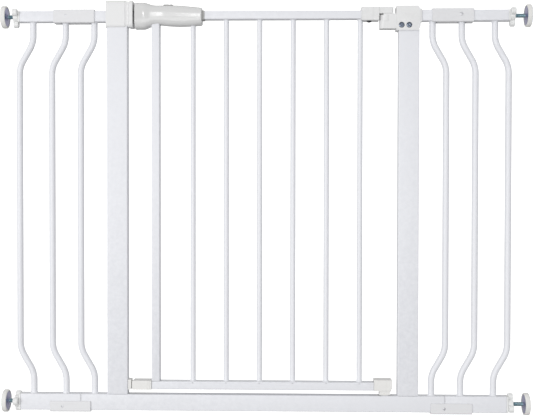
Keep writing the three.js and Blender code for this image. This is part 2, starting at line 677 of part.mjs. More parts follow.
function handleSolid(inset) {
  const stations = HANDLE_LINE.map(([x, low, high, deep], i) => {
    const inward = i === 0 ? inset : i === HANDLE_LINE.length - 1 ? -inset : 0;
    const clamped = Math.min(Math.max(x + inward, NOSE_X + inset), HANDLE_END - inset);
    return [clamped, (low + high) / 2, (high - low) / 2 - inset, deep - inset];
  });
  const kept = stations.filter(([x], i) => i === 0 || x - stations[i - 1][0] > 0.05);
  return loftX(kept, 0.62, 24);
}

function handleShells() {
  const half = DEPTH / 2 + GAP;
  const [railLow, railHigh] = [DOOR_TOP - DOOR_H - GAP, DOOR_TOP + GAP];
  const [slot, mouth, below] = [BUTTON_STEM + GAP, BOLT_DEEP + 0.5, 690];
  const hollow = cut(
    handleSolid(0),
    handleSolid(HANDLE_SHELL),
    box(DOOR_LEFT - GAP, HANDLE_END + 1, -half, half, railLow, railHigh),
    box(DOOR_LEFT - GAP, DOOR_LEFT + STILE_W + GAP, -half, half, below, railLow + 1),
    rodZ(BAR_R + GAP, BAR_FIRST, 0, below, railLow + 1),
    box(NOSE_X - 1, NOSE_X + 6, -mouth, mouth, BOLT_LOW - 1, BOLT_HIGH + 1),
    box(BUTTON_X - BOLT_TRAVEL - slot, BUTTON_X + slot, -slot, slot, DOOR_TOP, DOOR_TOP + 20),
  );
  const [front, rear] = [box(-300, 0, -60, -GAP / 2, 600, 800), box(-300, 0, GAP / 2, 60, 600, 800)];
  return [common(hollow, front), common(hollow, rear)];
}

// The bolt's head, and the draw bar that runs back from it over the top rail.
function latchBolt() {
  const rear = DOOR_LEFT - 4;
  const [riserX, half] = [rear - 5, 4];
  const head = box(BOLT_FACE, rear, -BOLT_DEEP, BOLT_DEEP, BOLT_LOW, BOLT_HIGH);
  const riser = box(riserX, rear, -half, half, BOLT_HIGH - 0.5, BAR_OVER);
  const bar = box(riserX, BUTTON_X + 5, -half, half, DOOR_TOP + 3 * GAP, BAR_OVER);
  return join(head, riser, bar);
}

function thumbButton() {
  const [x0, x1, half] = [BUTTON_X - BUTTON_STEM, BUTTON_X + BUTTON_STEM, BUTTON_STEM];
  const stem = box(x0, x1, -half, half, BAR_OVER + GAP, BUTTON_UNDER + 1);
  const [length, width, radius, depth] = [18, 13, 4, 1.6];
  const pad = new THREE.ExtrudeGeometry(roundedRect(length, width, radius), { ...TUBE_OPTIONS, depth });
  return join(stem, pad.translate(BUTTON_X, 0, BUTTON_UNDER));
}

// ---- Assembly ----

const screwHole = (x) => rodY(SCREW_R + GAP, x, -DEPTH, -DEPTH / 2 + WALL + 2, SCREW_Z, 12);
const hingePostHoles = SCREW_X.map(screwHole);
sidePanel({ side: "left", sign: -1, lowerKnobTurn: Math.PI / 5, joinerShift: 8, postHoles: [] });
sidePanel({ side: "right", sign: 1, lowerKnobTurn: 0, joinerShift: 0, postHoles: hingePostHoles });

add(gate, "threshold_rail", thresholdRail(), paint);
add(gate, "pivot_bush", pivotBush(), plastic);
add(gate, "latch_housing", latchHousing(), plastic);
add(gate, "catch_keeper", catchKeeper(), plastic);
add(gate, "hinge_bracket", hingeBracket(), plastic);
add(gate, "hinge_screw_inner", hingeScrew(SCREW_X[0]), zinc);
add(gate, "hinge_screw_outer", hingeScrew(SCREW_X[1]), zinc);
add(gate, "closing_spring", closingSpring(), springSteel);
add(gate, "spring_sleeve", springSleeve(), plastic);

add(gate, "door_top_rail", doorRail(DOOR_TOP - DOOR_H / 2), paint);
add(gate, "door_bottom_rail", doorRail(DOOR_BOTTOM + DOOR_H / 2), paint);
const [barLow, barHigh] = [DOOR_BOTTOM + DOOR_H + GAP, DOOR_TOP - DOOR_H - GAP];
add(gate, "latch_stile", tubeZ(STILE_X, STILE_W, barLow, barHigh), paint);
for (let i = 0; i < BAR_COUNT; i += 1) {
  const x = BAR_FIRST + i * BAR_PITCH;
  add(gate, `door_bar_${i + 1}`, rodZ(BAR_R, x, 0, barLow, barHigh, 16), paint);
}
add(gate, "hinge_arm", hingeArm(), plastic);
add(gate, "pivot_pin", pivotPin(), zinc);
add(gate, "hinge_foot", hingeFoot(), plastic);
add(gate, "bottom_catch", bottomCatch(), plastic);
const [frontShell, rearShell] = handleShells();
add(gate, "handle_front_shell", frontShell, plastic);
add(gate, "handle_rear_shell", rearShell, plastic);
add(gate, "latch_bolt", latchBolt(), plastic);
add(gate, "thumb_button", thumbButton(), plastic);

export default gate;
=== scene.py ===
"""The safety baby gate's looks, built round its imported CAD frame.

Lengths are metres in the frame's own axes: X runs along the gate with the hinge side at +X, -Y is the
front, Z is up. Every CAD node has one finely modelled piece here that stands for it and rides on its body.
"""

import json
from math import cos, pi, radians, sin, tan

import bmesh
import bpy
import numpy as np
from mathutils import Matrix, Vector


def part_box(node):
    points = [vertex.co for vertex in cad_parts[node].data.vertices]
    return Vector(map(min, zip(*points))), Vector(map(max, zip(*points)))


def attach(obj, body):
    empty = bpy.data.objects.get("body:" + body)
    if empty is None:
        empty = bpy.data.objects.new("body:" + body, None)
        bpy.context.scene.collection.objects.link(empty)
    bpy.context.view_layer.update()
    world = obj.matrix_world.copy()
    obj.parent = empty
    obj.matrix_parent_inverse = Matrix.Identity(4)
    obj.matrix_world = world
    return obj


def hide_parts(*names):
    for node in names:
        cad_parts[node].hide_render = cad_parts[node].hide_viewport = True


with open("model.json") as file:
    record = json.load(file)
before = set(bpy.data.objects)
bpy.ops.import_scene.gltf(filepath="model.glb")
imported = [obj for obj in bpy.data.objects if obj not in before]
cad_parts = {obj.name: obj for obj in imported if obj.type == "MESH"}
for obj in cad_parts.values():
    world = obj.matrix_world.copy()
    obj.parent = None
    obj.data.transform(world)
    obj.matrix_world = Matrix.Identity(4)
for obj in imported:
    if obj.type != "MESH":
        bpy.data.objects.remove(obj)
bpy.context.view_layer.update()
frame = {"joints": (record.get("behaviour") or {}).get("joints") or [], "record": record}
BODY_OF = {node: body for body, nodes in frame["record"]["behaviour"]["bodies"].items() for node in nodes}
JOINTS = {joint["name"]: joint for joint in frame["joints"]}
HINGE = Vector(JOINTS["door_swing"]["pos_m"])
POST_LOW, POST_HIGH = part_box("left_post")
SIDES = (("left", -1), ("right", 1))

MM = 0.001
GAP = 0.3 * MM  # clearance between neighbouring pieces
WALL = 1.2 * MM  # steel tube wall
CORNER = 2 * MM  # steel tube corner radius
TUBE_HALF = 10 * MM  # half the depth of every rail and post
ACROSS = (-TUBE_HALF - GAP, TUBE_HALF + GAP)  # a socket's depth, round a rail
INSET = WALL + GAP  # how far a plug stands in from its rail's outside
PLUG_HALF = TUBE_HALF - INSET

# ---------------------------------------------------------------- mesh kit

AXIS_ORDER = {
    "x": lambda u, v, w: (w, u, v),
    "y": lambda u, v, w: (u, w, v),
    "z": lambda u, v, w: (u, v, w),
}


def middle_of(node, axis):
    """The middle of a CAD node's box along an axis: 0 is X and 2 is Z."""
    low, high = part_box(node)
    return (low[axis] + high[axis]) / 2


def finish_mesh(mesh, sharp=40):
    """Welds, turns the faces outwards and shades smooth except over edges sharper than that angle."""
    bm = bmesh.new()
    bm.from_mesh(mesh)
    bmesh.ops.remove_doubles(bm, verts=bm.verts, dist=1e-6)
    bmesh.ops.recalc_face_normals(bm, faces=bm.faces)
    bm.to_mesh(mesh)
    bm.free()
    mesh.polygons.foreach_set("use_smooth", [True] * len(mesh.polygons))
    mesh.set_sharp_from_angle(angle=radians(sharp))
    mesh.update()


def make_object(name, verts, faces, sharp=40):
    """A linked object with a finished mesh."""
    mesh = bpy.data.meshes.new(name)
    mesh.from_pydata([tuple(v) for v in verts], [], faces)
    finish_mesh(mesh, sharp)
    obj = bpy.data.objects.new(name, mesh)
    bpy.context.scene.collection.objects.link(obj)
    return obj


def through_rings(name, rings, closed=False, sharp=40):
    """A surface through rings of equally many points. It closes on itself, or gets a cap at each end."""
    count, rows = len(rings[0]), len(rings)
    faces = []
    for i in range(rows if closed else rows - 1):
        here, there = i * count, (i + 1) % rows * count
        for j in range(count):
            k = (j + 1) % count
            faces.append((here + j, here + k, there + k, there + j))
    if not closed:
        faces.append(tuple(range(count)))
        faces.append(tuple(range((rows - 1) * count, rows * count)))
    return make_object(name, [point for ring in rings for point in ring], faces, sharp)


def rounded_rect(half_u, half_v, radius, steps=6):
    """The points of a rectangle with rounded corners, about its middle."""
    points = []
    for turn, (side_u, side_v) in enumerate([(1, 1), (-1, 1), (-1, -1), (1, -1)]):
        for i in range(steps + 1):
            angle = (turn + i / steps) * pi / 2
            u = side_u * (half_u - radius) + radius * cos(angle)
            v = side_v * (half_v - radius) + radius * sin(angle)
            points.append((u, v))
    return points


def quarter(radius, steps=3):
    """(back from the end, in from the side) along the rounding of an edge, from the side to the end."""
    turns = [i / steps * pi / 2 for i in range(steps + 1)]
    return [(radius * (1 - sin(turn)), radius * (1 - cos(turn))) for turn in turns]


def lathe(name, profile, axis, at, sides=96, closed=False, sharp=40):
    """Turns (along, radius) pairs about an axis through the point at."""
    order = AXIS_ORDER[axis]
    rings = []
    for along, radius in profile:
        ring = []
        for i in range(sides):
            angle = 2 * pi * i / sides
            place = Vector(order(radius * cos(angle), radius * sin(angle), along))
            ring.append(Vector(at) + place)
        rings.append(ring)
    return through_rings(name, rings, closed, sharp)


def block(x, y, z):
    """A box given as three (low, high) spans, for fuse()."""
    corners = [(a, b, c) for a in x for b in y for c in z]
    faces = [(0, 1, 3, 2), (4, 6, 7, 5), (0, 4, 5, 1), (2, 3, 7, 6), (0, 2, 6, 4), (1, 5, 7, 3)]
    return make_object("part", corners, faces)


def rod(axis, radius, at, span, sides=48):
    """A round bar for fuse(). at is the middle of its section in the two other axes."""
    turns = [2 * pi * i / sides for i in range(sides)]
    return prism(axis, [(at[0] + radius * cos(t), at[1] + radius * sin(t)) for t in turns], span)


def front_cut(x, deep, depth, z):
    """A tool for fuse() that cuts a groove into the face at y = -deep."""
    return block(x, (-deep - MM, -deep + depth), z)


def prism(axis, outline, span):
    """An outline in the two other axes carried along this one, for fuse()."""
    order = AXIS_ORDER[axis]
    return through_rings("part", [[order(u, v, along) for u, v in outline] for along in span])


def settle(obj):
    """Applies an object's modifiers to its mesh."""
    bpy.context.view_layer.update()
    evaluated = obj.evaluated_get(bpy.context.evaluated_depsgraph_get())
    mesh = bpy.data.meshes.new_from_object(evaluated)
    obj.modifiers.clear()
    obj.data = mesh
    return obj


def boolean(obj, tool, operation):
    """Joins the tool to the object or cuts it away, and removes the tool."""
    modifier = obj.modifiers.new("boolean", "BOOLEAN")
    modifier.operation = operation
    modifier.solver = "EXACT"
    modifier.object = tool
    settle(obj)
    bpy.data.objects.remove(tool)


def fuse(name, parts, cuts=(), bevel=0.6 * MM, sharp=38):
    """One solid from several, less the cuts, with its edges rounded."""
    obj = parts[0]
    obj.name = name
    for part in parts[1:]:
        boolean(obj, part, "UNION")
    for tool in cuts:
        boolean(obj, tool, "DIFFERENCE")
    bm = bmesh.new()
    bm.from_mesh(obj.data)
    bmesh.ops.remove_doubles(bm, verts=bm.verts, dist=2e-6)
    bmesh.ops.dissolve_limit(bm, angle_limit=radians(0.6), verts=bm.verts, edges=bm.edges)
    bm.to_mesh(obj.data)
    bm.free()
    if bevel:
        modifier = obj.modifiers.new("bevel", "BEVEL")
        modifier.width = bevel
        modifier.segments = 3
        modifier.limit_method = "ANGLE"
        modifier.angle_limit = radians(sharp)
        settle(obj)
    finish_mesh(obj.data, sharp)
    weigh = obj.modifiers.new("weighted_normal", "WEIGHTED_NORMAL")
    weigh.keep_sharp = True
    return settle(obj)


def dress(obj, material, *nodes, body=None, slot=None):
    """Gives a piece its material, and the body of the CAD nodes it stands for or its own. The slot is not
    used.
    """
    obj.data.materials.clear()
    obj.data.materials.append(material)
    obj.data.polygons.foreach_set("material_index", [0] * len(obj.data.polygons))
    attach(obj, body or BODY_OF[nodes[0]])
    if nodes:
        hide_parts(*nodes)


# ---------------------------------------------------------------- materials


class Tree:
    """A short way to write a node material in object coordinates."""

    def __init__(self, name):
        self.material = bpy.data.materials.new(name)
        self.material.use_nodes = True
        self.nodes = self.material.node_tree.nodes
        self.links = self.material.node_tree.links
        self.shader = self.nodes["Principled BSDF"]
        self.coords = self.nodes.new("ShaderNodeTexCoord").outputs["Object"]

    def fill(self, node, inputs):
        """Sets a node's inputs, and links those whose value is another node's output."""
        for key, value in inputs.items():
            if isinstance(value, bpy.types.NodeSocket):
                self.links.new(value, node.inputs[key])
            else:
                node.inputs[key].default_value = value
        return node

    def add(self, kind, inputs):
        """A new shader node with these inputs."""
        return self.fill(self.nodes.new(f"ShaderNode{kind}"), inputs)

    def stretched(self, scale):
        """The object's coordinates, scaled by another factor along each axis."""
        return self.add("Mapping", {"Scale": scale, "Vector": self.coords}).outputs["Vector"]

    def noise(self, scale, detail=3.0, coords=None, distortion=0.0):
        """Cloudy noise about 0.5. The scale is its number of clouds in a metre."""
        inputs = {"Scale": scale, "Detail": detail, "Distortion": distortion, "Vector": coords or self.coords}
        return self.add("TexNoise", inputs).outputs["Fac"]

    def cells(self, scale):
        """The distance from the middle of the nearest of many small cells."""
        return self.add("TexVoronoi", {"Scale": scale, "Vector": self.coords}).outputs["Distance"]

    def spread(self, value, low, high, from_low=0.3, from_high=0.7):
        """Maps one range of a value onto another."""
        inputs = {"Value": value, "From Min": from_low, "From Max": from_high, "To Min": low, "To Max": high}
        return self.add("MapRange", inputs).outputs["Result"]

    def math(self, operation, a, b):
        """Two values added or multiplied."""
        node = self.add("Math", {0: a, 1: b})
        node.operation = operation
        return node.outputs["Value"]

    def mix(self, factor, a, b):
        """Mixes two colours, each a tuple or a node's output."""
        node = self.nodes.new("ShaderNodeMix")
        node.data_type = "RGBA"
        first, second = [(*color, 1) if isinstance(color, tuple) else color for color in (a, b)]
        return self.fill(node, {0: factor, 6: first, 7: second}).outputs[2]

    def edges(self, low, high):
        """0 on flat surfaces, 1 on the mesh's convex edges."""
        return self.spread(self.add("NewGeometry", {}).outputs["Pointiness"], 0.0, 1.0, low, high)

    def bump(self, *layers):
        """Each layer is (height, strength, distance in metres)."""
        below = {}
        for height, strength, distance in layers:
            node = self.add("Bump", {"Height": height, "Strength": strength, "Distance": distance, **below})
            below = {"Normal": node.outputs["Normal"]}
        self.fill(self.shader, below)

    def done(self, color, roughness):
        """Gives the shader its colour and roughness."""
        self.fill(self.shader, {"Base Color": color, "Roughness": roughness})
        return self.material


def tint(color, factor):
    """A lighter or darker tone of a colour."""
    return tuple(min(1.0, channel * factor) for channel in color)


def powder_coat():
    """White powder coat: orange peel, faint clouding, thinner and greyer on edges, dust low down."""
    tree = Tree("powder_coat")
    base = (0.785, 0.793, 0.828)
    cloud = tree.noise(7, 4)
    color = tree.mix(tree.spread(cloud, 0, 1), tint(base, 0.99), tint(base, 1.008))
    speck = tree.spread(tree.noise(900, 2), 0, 0.12, 0.64, 0.8)
    color = tree.mix(speck, color, tint(base, 0.8))
    wear = tree.math("MULTIPLY", tree.edges(0.53, 0.62), tree.spread(tree.noise(160, 5), 0, 0.35))
    color = tree.mix(wear, color, (0.60, 0.61, 0.65))
    height = tree.add("SeparateXYZ", {0: tree.coords}).outputs["Z"]
    low_down = tree.spread(height, 0.08, 0.0, 0.0, 0.12)
    dust = tree.math("MULTIPLY", low_down, tree.spread(tree.noise(38, 5), 0, 1))
    color = tree.mix(dust, color, (0.70, 0.69, 0.67))
    peel = tree.noise(520, 2)
    grain = tree.noise(2600, 3)
    rough = tree.math("ADD", tree.spread(peel, 0.30, 0.42), tree.spread(cloud, 0.0, 0.06))
    rough = tree.math("ADD", rough, tree.math("MULTIPLY", dust, 0.25))
    tree.bump((peel, 0.10, 0.2 * MM), (grain, 0.06, 0.05 * MM))
    return tree.done(color, rough)


def moulded_plastic(name, base, rough, texture, flow=0.02):
    """White moulded plastic: fine spark texture, flow marks, darker scuffed edges."""
    tree = Tree(name)
    cloud = tree.noise(16, 4, distortion=1.2)
    color = tree.mix(tree.spread(cloud, 0, 1), tint(base, 1 - flow), tint(base, 1 + flow))
    scuff = tree.math("MULTIPLY", tree.edges(0.53, 0.64), tree.spread(tree.noise(210, 5), 0, 0.4))
    color = tree.mix(scuff, color, tint(base, 0.86))
    spark = tree.cells(1500)
    fine = tree.noise(3200, 2)
    roughness = tree.spread(tree.noise(60, 4), rough - 0.05, rough + 0.06)
    roughness = tree.math("ADD", roughness, tree.spread(fine, -0.03, 0.03))
    tree.bump((spark, 0.10 * texture, 0.12 * MM), (fine, 0.12 * texture, 0.05 * MM))
    return tree.done(color, roughness)


def pad_rubber():
    """Cream-white rubber: matt bloom, mould texture and a little grime in its pores."""
    tree = Tree("pad_rubber")
    base = (0.79, 0.785, 0.765)
    bloom = tree.noise(45, 6)
    color = tree.mix(tree.spread(bloom, 0, 1), tint(base, 0.94), tint(base, 1.05))
    grime = tree.spread(tree.noise(420, 4), 0, 0.3, 0.55, 0.75)
    color = tree.mix(grime, color, (0.62, 0.60, 0.56))
    color = tree.mix(tree.spread(tree.edges(0.52, 0.62), 0, 0.3, 0, 1), color, tint(base, 1.1))
    pores = tree.cells(1100)
    roughness = tree.spread(bloom, 0.58, 0.78)
    tree.bump((pores, 0.3, 0.15 * MM), (tree.noise(1800, 3), 0.2, 0.08 * MM))
    return tree.done(color, roughness)


def plated_metal(name, cool, warm, rough, brush, edge=2.0):
    """Zinc plate: brushed along one axis, clouded passivation, and another tint on convex edges that is
    partly wear and, where the edge factor is large as on the dark screws, a painted highlight.
    """
    tree = Tree(name)
    cloud = tree.noise(130, 4, distortion=2.0)
    streaks = tree.noise(1.0, 4, tree.stretched(brush))
    color = tree.mix(tree.spread(cloud, 0, 1), cool, warm)
    color = tree.mix(tree.spread(streaks, 0, 0.45), color, tint(cool, 0.55))
    # Convex edges take the warm tone times the edge factor: above 1 this paints a highlight on them,
    # strongest on the dark screws.
    color = tree.mix(tree.edges(0.54, 0.66), color, tint(warm, edge))
    roughness = tree.spread(streaks, rough - 0.06, rough + 0.1)
    roughness = tree.math("ADD", roughness, tree.spread(cloud, -0.03, 0.05))
    tree.bump((streaks, 0.25, 0.1 * MM), (tree.noise(2400, 2), 0.12, 0.04 * MM))
    tree.shader.inputs["Metallic"].default_value = 1.0
    return tree.done(color, roughness)


def dark_trim(name, base, rough):
    """Grey or black trim: fine grain, pale rubbed edges."""
    tree = Tree(name)
    cloud = tree.noise(90, 5)
    color = tree.mix(tree.spread(cloud, 0, 1), tint(base, 0.92), tint(base, 1.08))
    color = tree.mix(tree.spread(tree.edges(0.53, 0.63), 0, 0.4, 0, 1), color, tint(base, 1.3))
    roughness = tree.spread(tree.noise(300, 4), rough - 0.08, rough + 0.1)
    tree.bump((tree.noise(1600, 3), 0.2, 0.08 * MM))
    return tree.done(color, roughness)


PAINT = powder_coat()
PLASTIC = moulded_plastic("white_moulding", (0.765, 0.766, 0.768), 0.42, 1.0, flow=0.01)
JOINER_WHITE = moulded_plastic("joiner_moulding", (0.735, 0.736, 0.752), 0.46, 1.0, flow=0.01)
GLOSS = moulded_plastic("handle_moulding", (0.66, 0.661, 0.658), 0.16, 0.2, flow=0.008)
BRACKET_WHITE = moulded_plastic("bracket_moulding", (0.765, 0.766, 0.768), 0.32, 0.6, flow=0.01)
CREAM = moulded_plastic("cream_moulding", (0.792, 0.785, 0.768), 0.46, 1.0, flow=0.015)
CLEAR_WHITE = moulded_plastic("knob_moulding", (0.80, 0.805, 0.80), 0.34, 0.8)
RUBBER = pad_rubber()
EVEN_BRUSH = (900, 900, 900)
ZINC_ROD = plated_metal("zinc_thread", (0.30, 0.47, 0.53), (0.42, 0.52, 0.56), 0.38, (300, 2500, 2500))
ZINC_DISC = plated_metal("zinc_disc", (0.46, 0.46, 0.64), (0.54, 0.53, 0.70), 0.34, (300, 900, 60), 0.8)
# Screw and pin zinc: the dark tone is a painted reflection of dark surroundings, and the edge factor of 3.5
# paints a highlight on the rims.
DARK_ZINC_PAINTED_LIGHT = plated_metal("zinc_screw", (0.17, 0.20, 0.26), (0.23, 0.26, 0.32), 0.18, EVEN_BRUSH, 3.5)
PALE_SCREW = plated_metal("pale_zinc_screw", (0.72, 0.73, 0.76), (0.80, 0.80, 0.82), 0.45, EVEN_BRUSH, 1.2)
SPRING = plated_metal("spring_wire", (0.20, 0.21, 0.23), (0.26, 0.24, 0.22), 0.32, (1500, 1500, 300))
GREY = dark_trim("grey_collar", (0.40, 0.40, 0.39), 0.5)
BLACK_SCREW = dark_trim("black_oxide", (0.030, 0.030, 0.034), 0.35)

# ---------------------------------------------------------------- steel tubes and bars


def tube(node, axis, wall=WALL, corner=CORNER, lip=0.4 * MM):
    """A hollow rectangular tube in its CAD node's box, with its cut ends' edges rounded."""
    low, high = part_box(node)
    pick = {"x": (1, 2, 0), "z": (0, 1, 2)}[axis]
    u, v, w = pick
    middle = ((low[u] + high[u]) / 2, (low[v] + high[v]) / 2)
    half = ((high[u] - low[u]) / 2, (high[v] - low[v]) / 2)
    start, end = low[w], high[w]
    outside = quarter(lip)
    inside = [(back, wall - side) for back, side in reversed(outside)]
    edge = outside + inside
    stations = [(end - back, side) for back, side in edge]
    stations += [(start + back, side) for back, side in reversed(edge)]
    order = AXIS_ORDER[axis]
    rings = []
    for along, side in stations:
        radius = max(corner - side, 0.3 * MM)
        outline = rounded_rect(half[0] - side, half[1] - side, radius)
        rings.append([order(middle[0] + a, middle[1] + b, along) for a, b in outline])
    return through_rings(f"{node}_tube", rings, closed=True)


WELD_HIGH = 2.4 * MM
WELD_WIDE = 1.5 * MM
WELD_STEPS = (0.0, 0.12, 0.3, 0.5, 0.75, 1.0)  # shares of the weld's height


def weld_radius(share, angle, seed):
    """How far a weld's fillet stands out from its bar."""
    ripple = 1 + 0.16 * sin(5 * angle + seed) + 0.09 * sin(9 * angle + 2.3 * seed)
    return WELD_WIDE * ripple * (1 - share) ** 2


def bar(node, path, radius, seed, sides=32):
    """A round bar along a path in the XZ plane, with a weld fillet where each end meets its rail."""
    first = (path[1] - path[0]).normalized()
    last = (path[-2] - path[-1]).normalized()
    head = [(path[0] + first * WELD_HIGH * share, share) for share in WELD_STEPS]
    tail = [(path[-1] + last * WELD_HIGH * share, share) for share in reversed(WELD_STEPS)]
    stations = head + [(point, 1.0) for point in path[1:-1]] + tail
    rings = []
    for i, (point, share) in enumerate(stations):
        before, after = stations[max(i - 1, 0)][0], stations[min(i + 1, len(stations) - 1)][0]
        along = (after - before).normalized()
        across = Vector((0, 1, 0)).cross(along)
        ring = []
        for j in range(sides):
            angle = 2 * pi * j / sides
            size = radius + (weld_radius(share, angle, seed) if share < 1 else 0)
            ring.append(point + across * size * cos(angle) + Vector((0, size * sin(angle), 0)))
        rings.append(ring)
    return through_rings(f"{node}_bar", rings, sharp=50)


BEND_R = 50 * MM
BEND_ANGLE = radians(30)
BEND_INSET = 24 * MM
BENT_R = 6 * MM
VENT_R = 0.8 * MM  # small holes in the front of the door's bottom rail, one under each bar
VENT_DOWN = 2.4 * MM
BUSH_HOLE_R = 6.8 * MM
DRAIN_R = 1.3 * MM  # a small hole beside the pivot bush
DRAIN_LEFT, DRAIN_FORWARD = 7.6 * MM, 8.3 * MM
DOOR_CORNER = 1.8 * MM


def bent_path(node, sign):
    """The middle line of a bent bar: at each end a straight foot, two opposite bends and a slope."""
    low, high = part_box(node)
    foot = low.x + BENT_R if sign > 0 else high.x - BENT_R
    bow = high.x - low.x - 2 * BENT_R
    rise, shift = BEND_R * sin(BEND_ANGLE), BEND_R * (1 - cos(BEND_ANGLE))
    slope = (bow - 2 * shift) / tan(BEND_ANGLE)
    steps = 10
    bend = [BEND_ANGLE * i / steps for i in range(steps + 1)]
    end = [(BEND_R * (1 - cos(turn)), BEND_INSET + BEND_R * sin(turn)) for turn in bend]
    far = BEND_INSET + 2 * rise + slope
    end += [(bow - BEND_R * (1 - cos(turn)), far - BEND_R * sin(turn)) for turn in reversed(bend)]
    bottom, top = low.z - GAP, high.z + GAP
    path = [Vector((foot, 0, bottom))]
    path += [Vector((foot + sign * out, 0, bottom + up)) for out, up in end]
    path += [Vector((foot + sign * out, 0, top - down)) for out, down in reversed(end)]
    return path + [Vector((foot, 0, top))]


def steelwork():
    """Every painted tube and bar of the frame, the extensions and the door."""
    for side, sign in SIDES:
        dress(tube(f"{side}_post", "z"), PAINT, f"{side}_post")
        for name in ("stub_rail", "extension_top_rail", "extension_bottom_rail"):
            node = f"{side}_{name}"
            dress(tube(node, "x"), PAINT, node)
        for i, name in enumerate(("frame_bar", "extension_inner_bar", "extension_outer_bar")):
            node = f"{side}_{name}"
            piece = bar(node, bent_path(node, sign), BENT_R, seed=i + 4 * sign)
            dress(piece, PAINT, node)
    threshold = tube("threshold_rail", "x")
    bush_low, bush_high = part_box("pivot_bush")
    hole = rod("z", BUSH_HOLE_R, (HINGE.x, 0), (bush_low.z, bush_high.z), 64)
    boolean(threshold, hole, "DIFFERENCE")
    at = (HINGE.x - DRAIN_LEFT, -DRAIN_FORWARD)
    drain = rod("z", DRAIN_R, at, (bush_low.z + 2 * WALL, bush_high.z), 24)
    boolean(threshold, drain, "DIFFERENCE")
    finish_mesh(threshold.data)
    dress(threshold, PAINT, "threshold_rail")
    for node, axis in (("door_top_rail", "x"), ("latch_stile", "z")):
        dress(tube(node, axis, corner=DOOR_CORNER), PAINT, node)
    door_bars = [f"door_bar_{i + 1}" for i in range(6)]
    bottom_rail = tube("door_bottom_rail", "x", corner=DOOR_CORNER)
    rail_low, rail_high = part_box("door_bottom_rail")
    for node in door_bars:
        at = (middle_of(node, 0), rail_high.z - VENT_DOWN)
        vent = rod("y", VENT_R, at, (rail_low.y - MM, rail_low.y + 2 * WALL), 20)
        boolean(bottom_rail, vent, "DIFFERENCE")
    finish_mesh(bottom_rail.data)
    dress(bottom_rail, PAINT, "door_bottom_rail")
    for i, node in enumerate(door_bars):
        low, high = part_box(node)
        ends = [low.z - GAP, low.z + 60 * MM, high.z - 60 * MM, high.z + GAP]
        path = [Vector((middle_of(node, 0), 0, z)) for z in ends]
        piece = bar(node, path, (high.y - low.y) / 2, seed=i * 1.7)
        dress(piece, PAINT, node)


# ---------------------------------------------------------------- joiners, plugs and adjusters


def cross_recess(axis, at, face, depth, length, width, turn, slots=2):
    """One slot or two crossed ones for fuse() to cut into a screw's head. face is the head's top."""
    tools = []
    for extra in (0, pi / 2)[:slots]:
        c, s = cos(turn + extra), sin(turn + extra)
        corners = [(-length, -width), (length, -width), (length, width), (-length, width)]
        outline = [(at[0] + a * c - b * s, at[1] + a * s + b * c) for a, b in corners]
        tools.append(prism(axis, outline, (face - 0.5 * MM, face + depth)))
    return tools


def front_screw(name, at, face, radius, turn, shank_to, shank_r, slots=2):
    """A pan-head screw whose domed head faces the front, at (x, z), with its top at y = face."""
    dome = [(0.00, 0.62), (0.10, 0.82), (0.28, 0.95), (0.55, 1.0), (1.0, 1.0)]
    height = 0.42 * radius
    profile = [(face + height * depth, radius * share) for depth, share in dome]
    profile += [(face + height, shank_r), (shank_to, shank_r)]
    screw = lathe(name, profile, "y", (at[0], 0, at[1]), sides=40)
    tools = cross_recess("y", at, face, 0.26 * radius, 0.58 * radius, 0.11 * radius, turn, slots)
    return fuse(name, [screw], tools, bevel=0.12 * MM)


SHEET = 2 * MM  # thickness of a joiner's wall
JOINER_CORNER = 2.4 * MM
# Each joiner's screw: its distance from the joiner's outer end, its slots' turn, its radius, its slots.
JOINER_SCREWS = {
    ("left", "top"): (22.5 * MM, pi / 2, 1.9 * MM, 1),
    ("right", "top"): (22.8 * MM, 0.75, 3.0 * MM, 1),
    ("left", "bottom"): (23 * MM, 0.3, 2.1 * MM, 2),
    ("right", "bottom"): (50.3 * MM, 1.1, 2.4 * MM, 1),
}


def joiner(side, sign, level):
    """A sleeve round two top rails or a channel under two bottom rails, with its screw."""
    node = f"{side}_{level}_joiner"
    low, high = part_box(node)
    from_end, turn, screw_r, slots = JOINER_SCREWS[side, level]
    middle = middle_of(node, 2)
    at = (high.x - from_end if sign > 0 else low.x + from_end, middle + (1.5 * MM if level == "top" else 0))
    front, half = low.y, (high.y - low.y) / 2
    inside = (SHEET - half, half - SHEET)
    if level == "top":
        body = tube(node, "x", wall=SHEET, corner=JOINER_CORNER)
        bars = [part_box(f"{side}_{name}") for name in ("frame_bar", "extension_inner_bar")]
        feet = [b[0].x + BENT_R if sign > 0 else b[1].x - BENT_R for b in bars]
        reach, floor_z = 8 * MM, (low.z - SHEET, low.z + 2 * SHEET)
        cuts = [block((foot - reach, foot + reach), inside, floor_z) for foot in feet]
    else:
        outline = rounded_rect(half, (high.z - low.z) / 2, JOINER_CORNER)
        body = prism("x", [(u, middle + v) for u, v in outline], (low.x, high.x))
        cuts = [block((low.x - SHEET, high.x + SHEET), inside, (low.z + SHEET, high.z + SHEET))]
    cuts.append(rod("y", screw_r + 0.1 * MM, at, (front - MM, front + SHEET + MM), 32))
    piece = fuse(f"{node}_shell", [body], cuts, bevel=0.3 * MM)
    dress(piece, JOINER_WHITE, node)
    face, shank_to, shank_r = front + 0.2 * MM, front + 6 * MM, 1.2 * MM
    screw = front_screw(f"{node}_screw", at, face, screw_r, turn, shank_to, shank_r, slots)
    dress(screw, PALE_SCREW, body="frame", slot="zinc_plate")


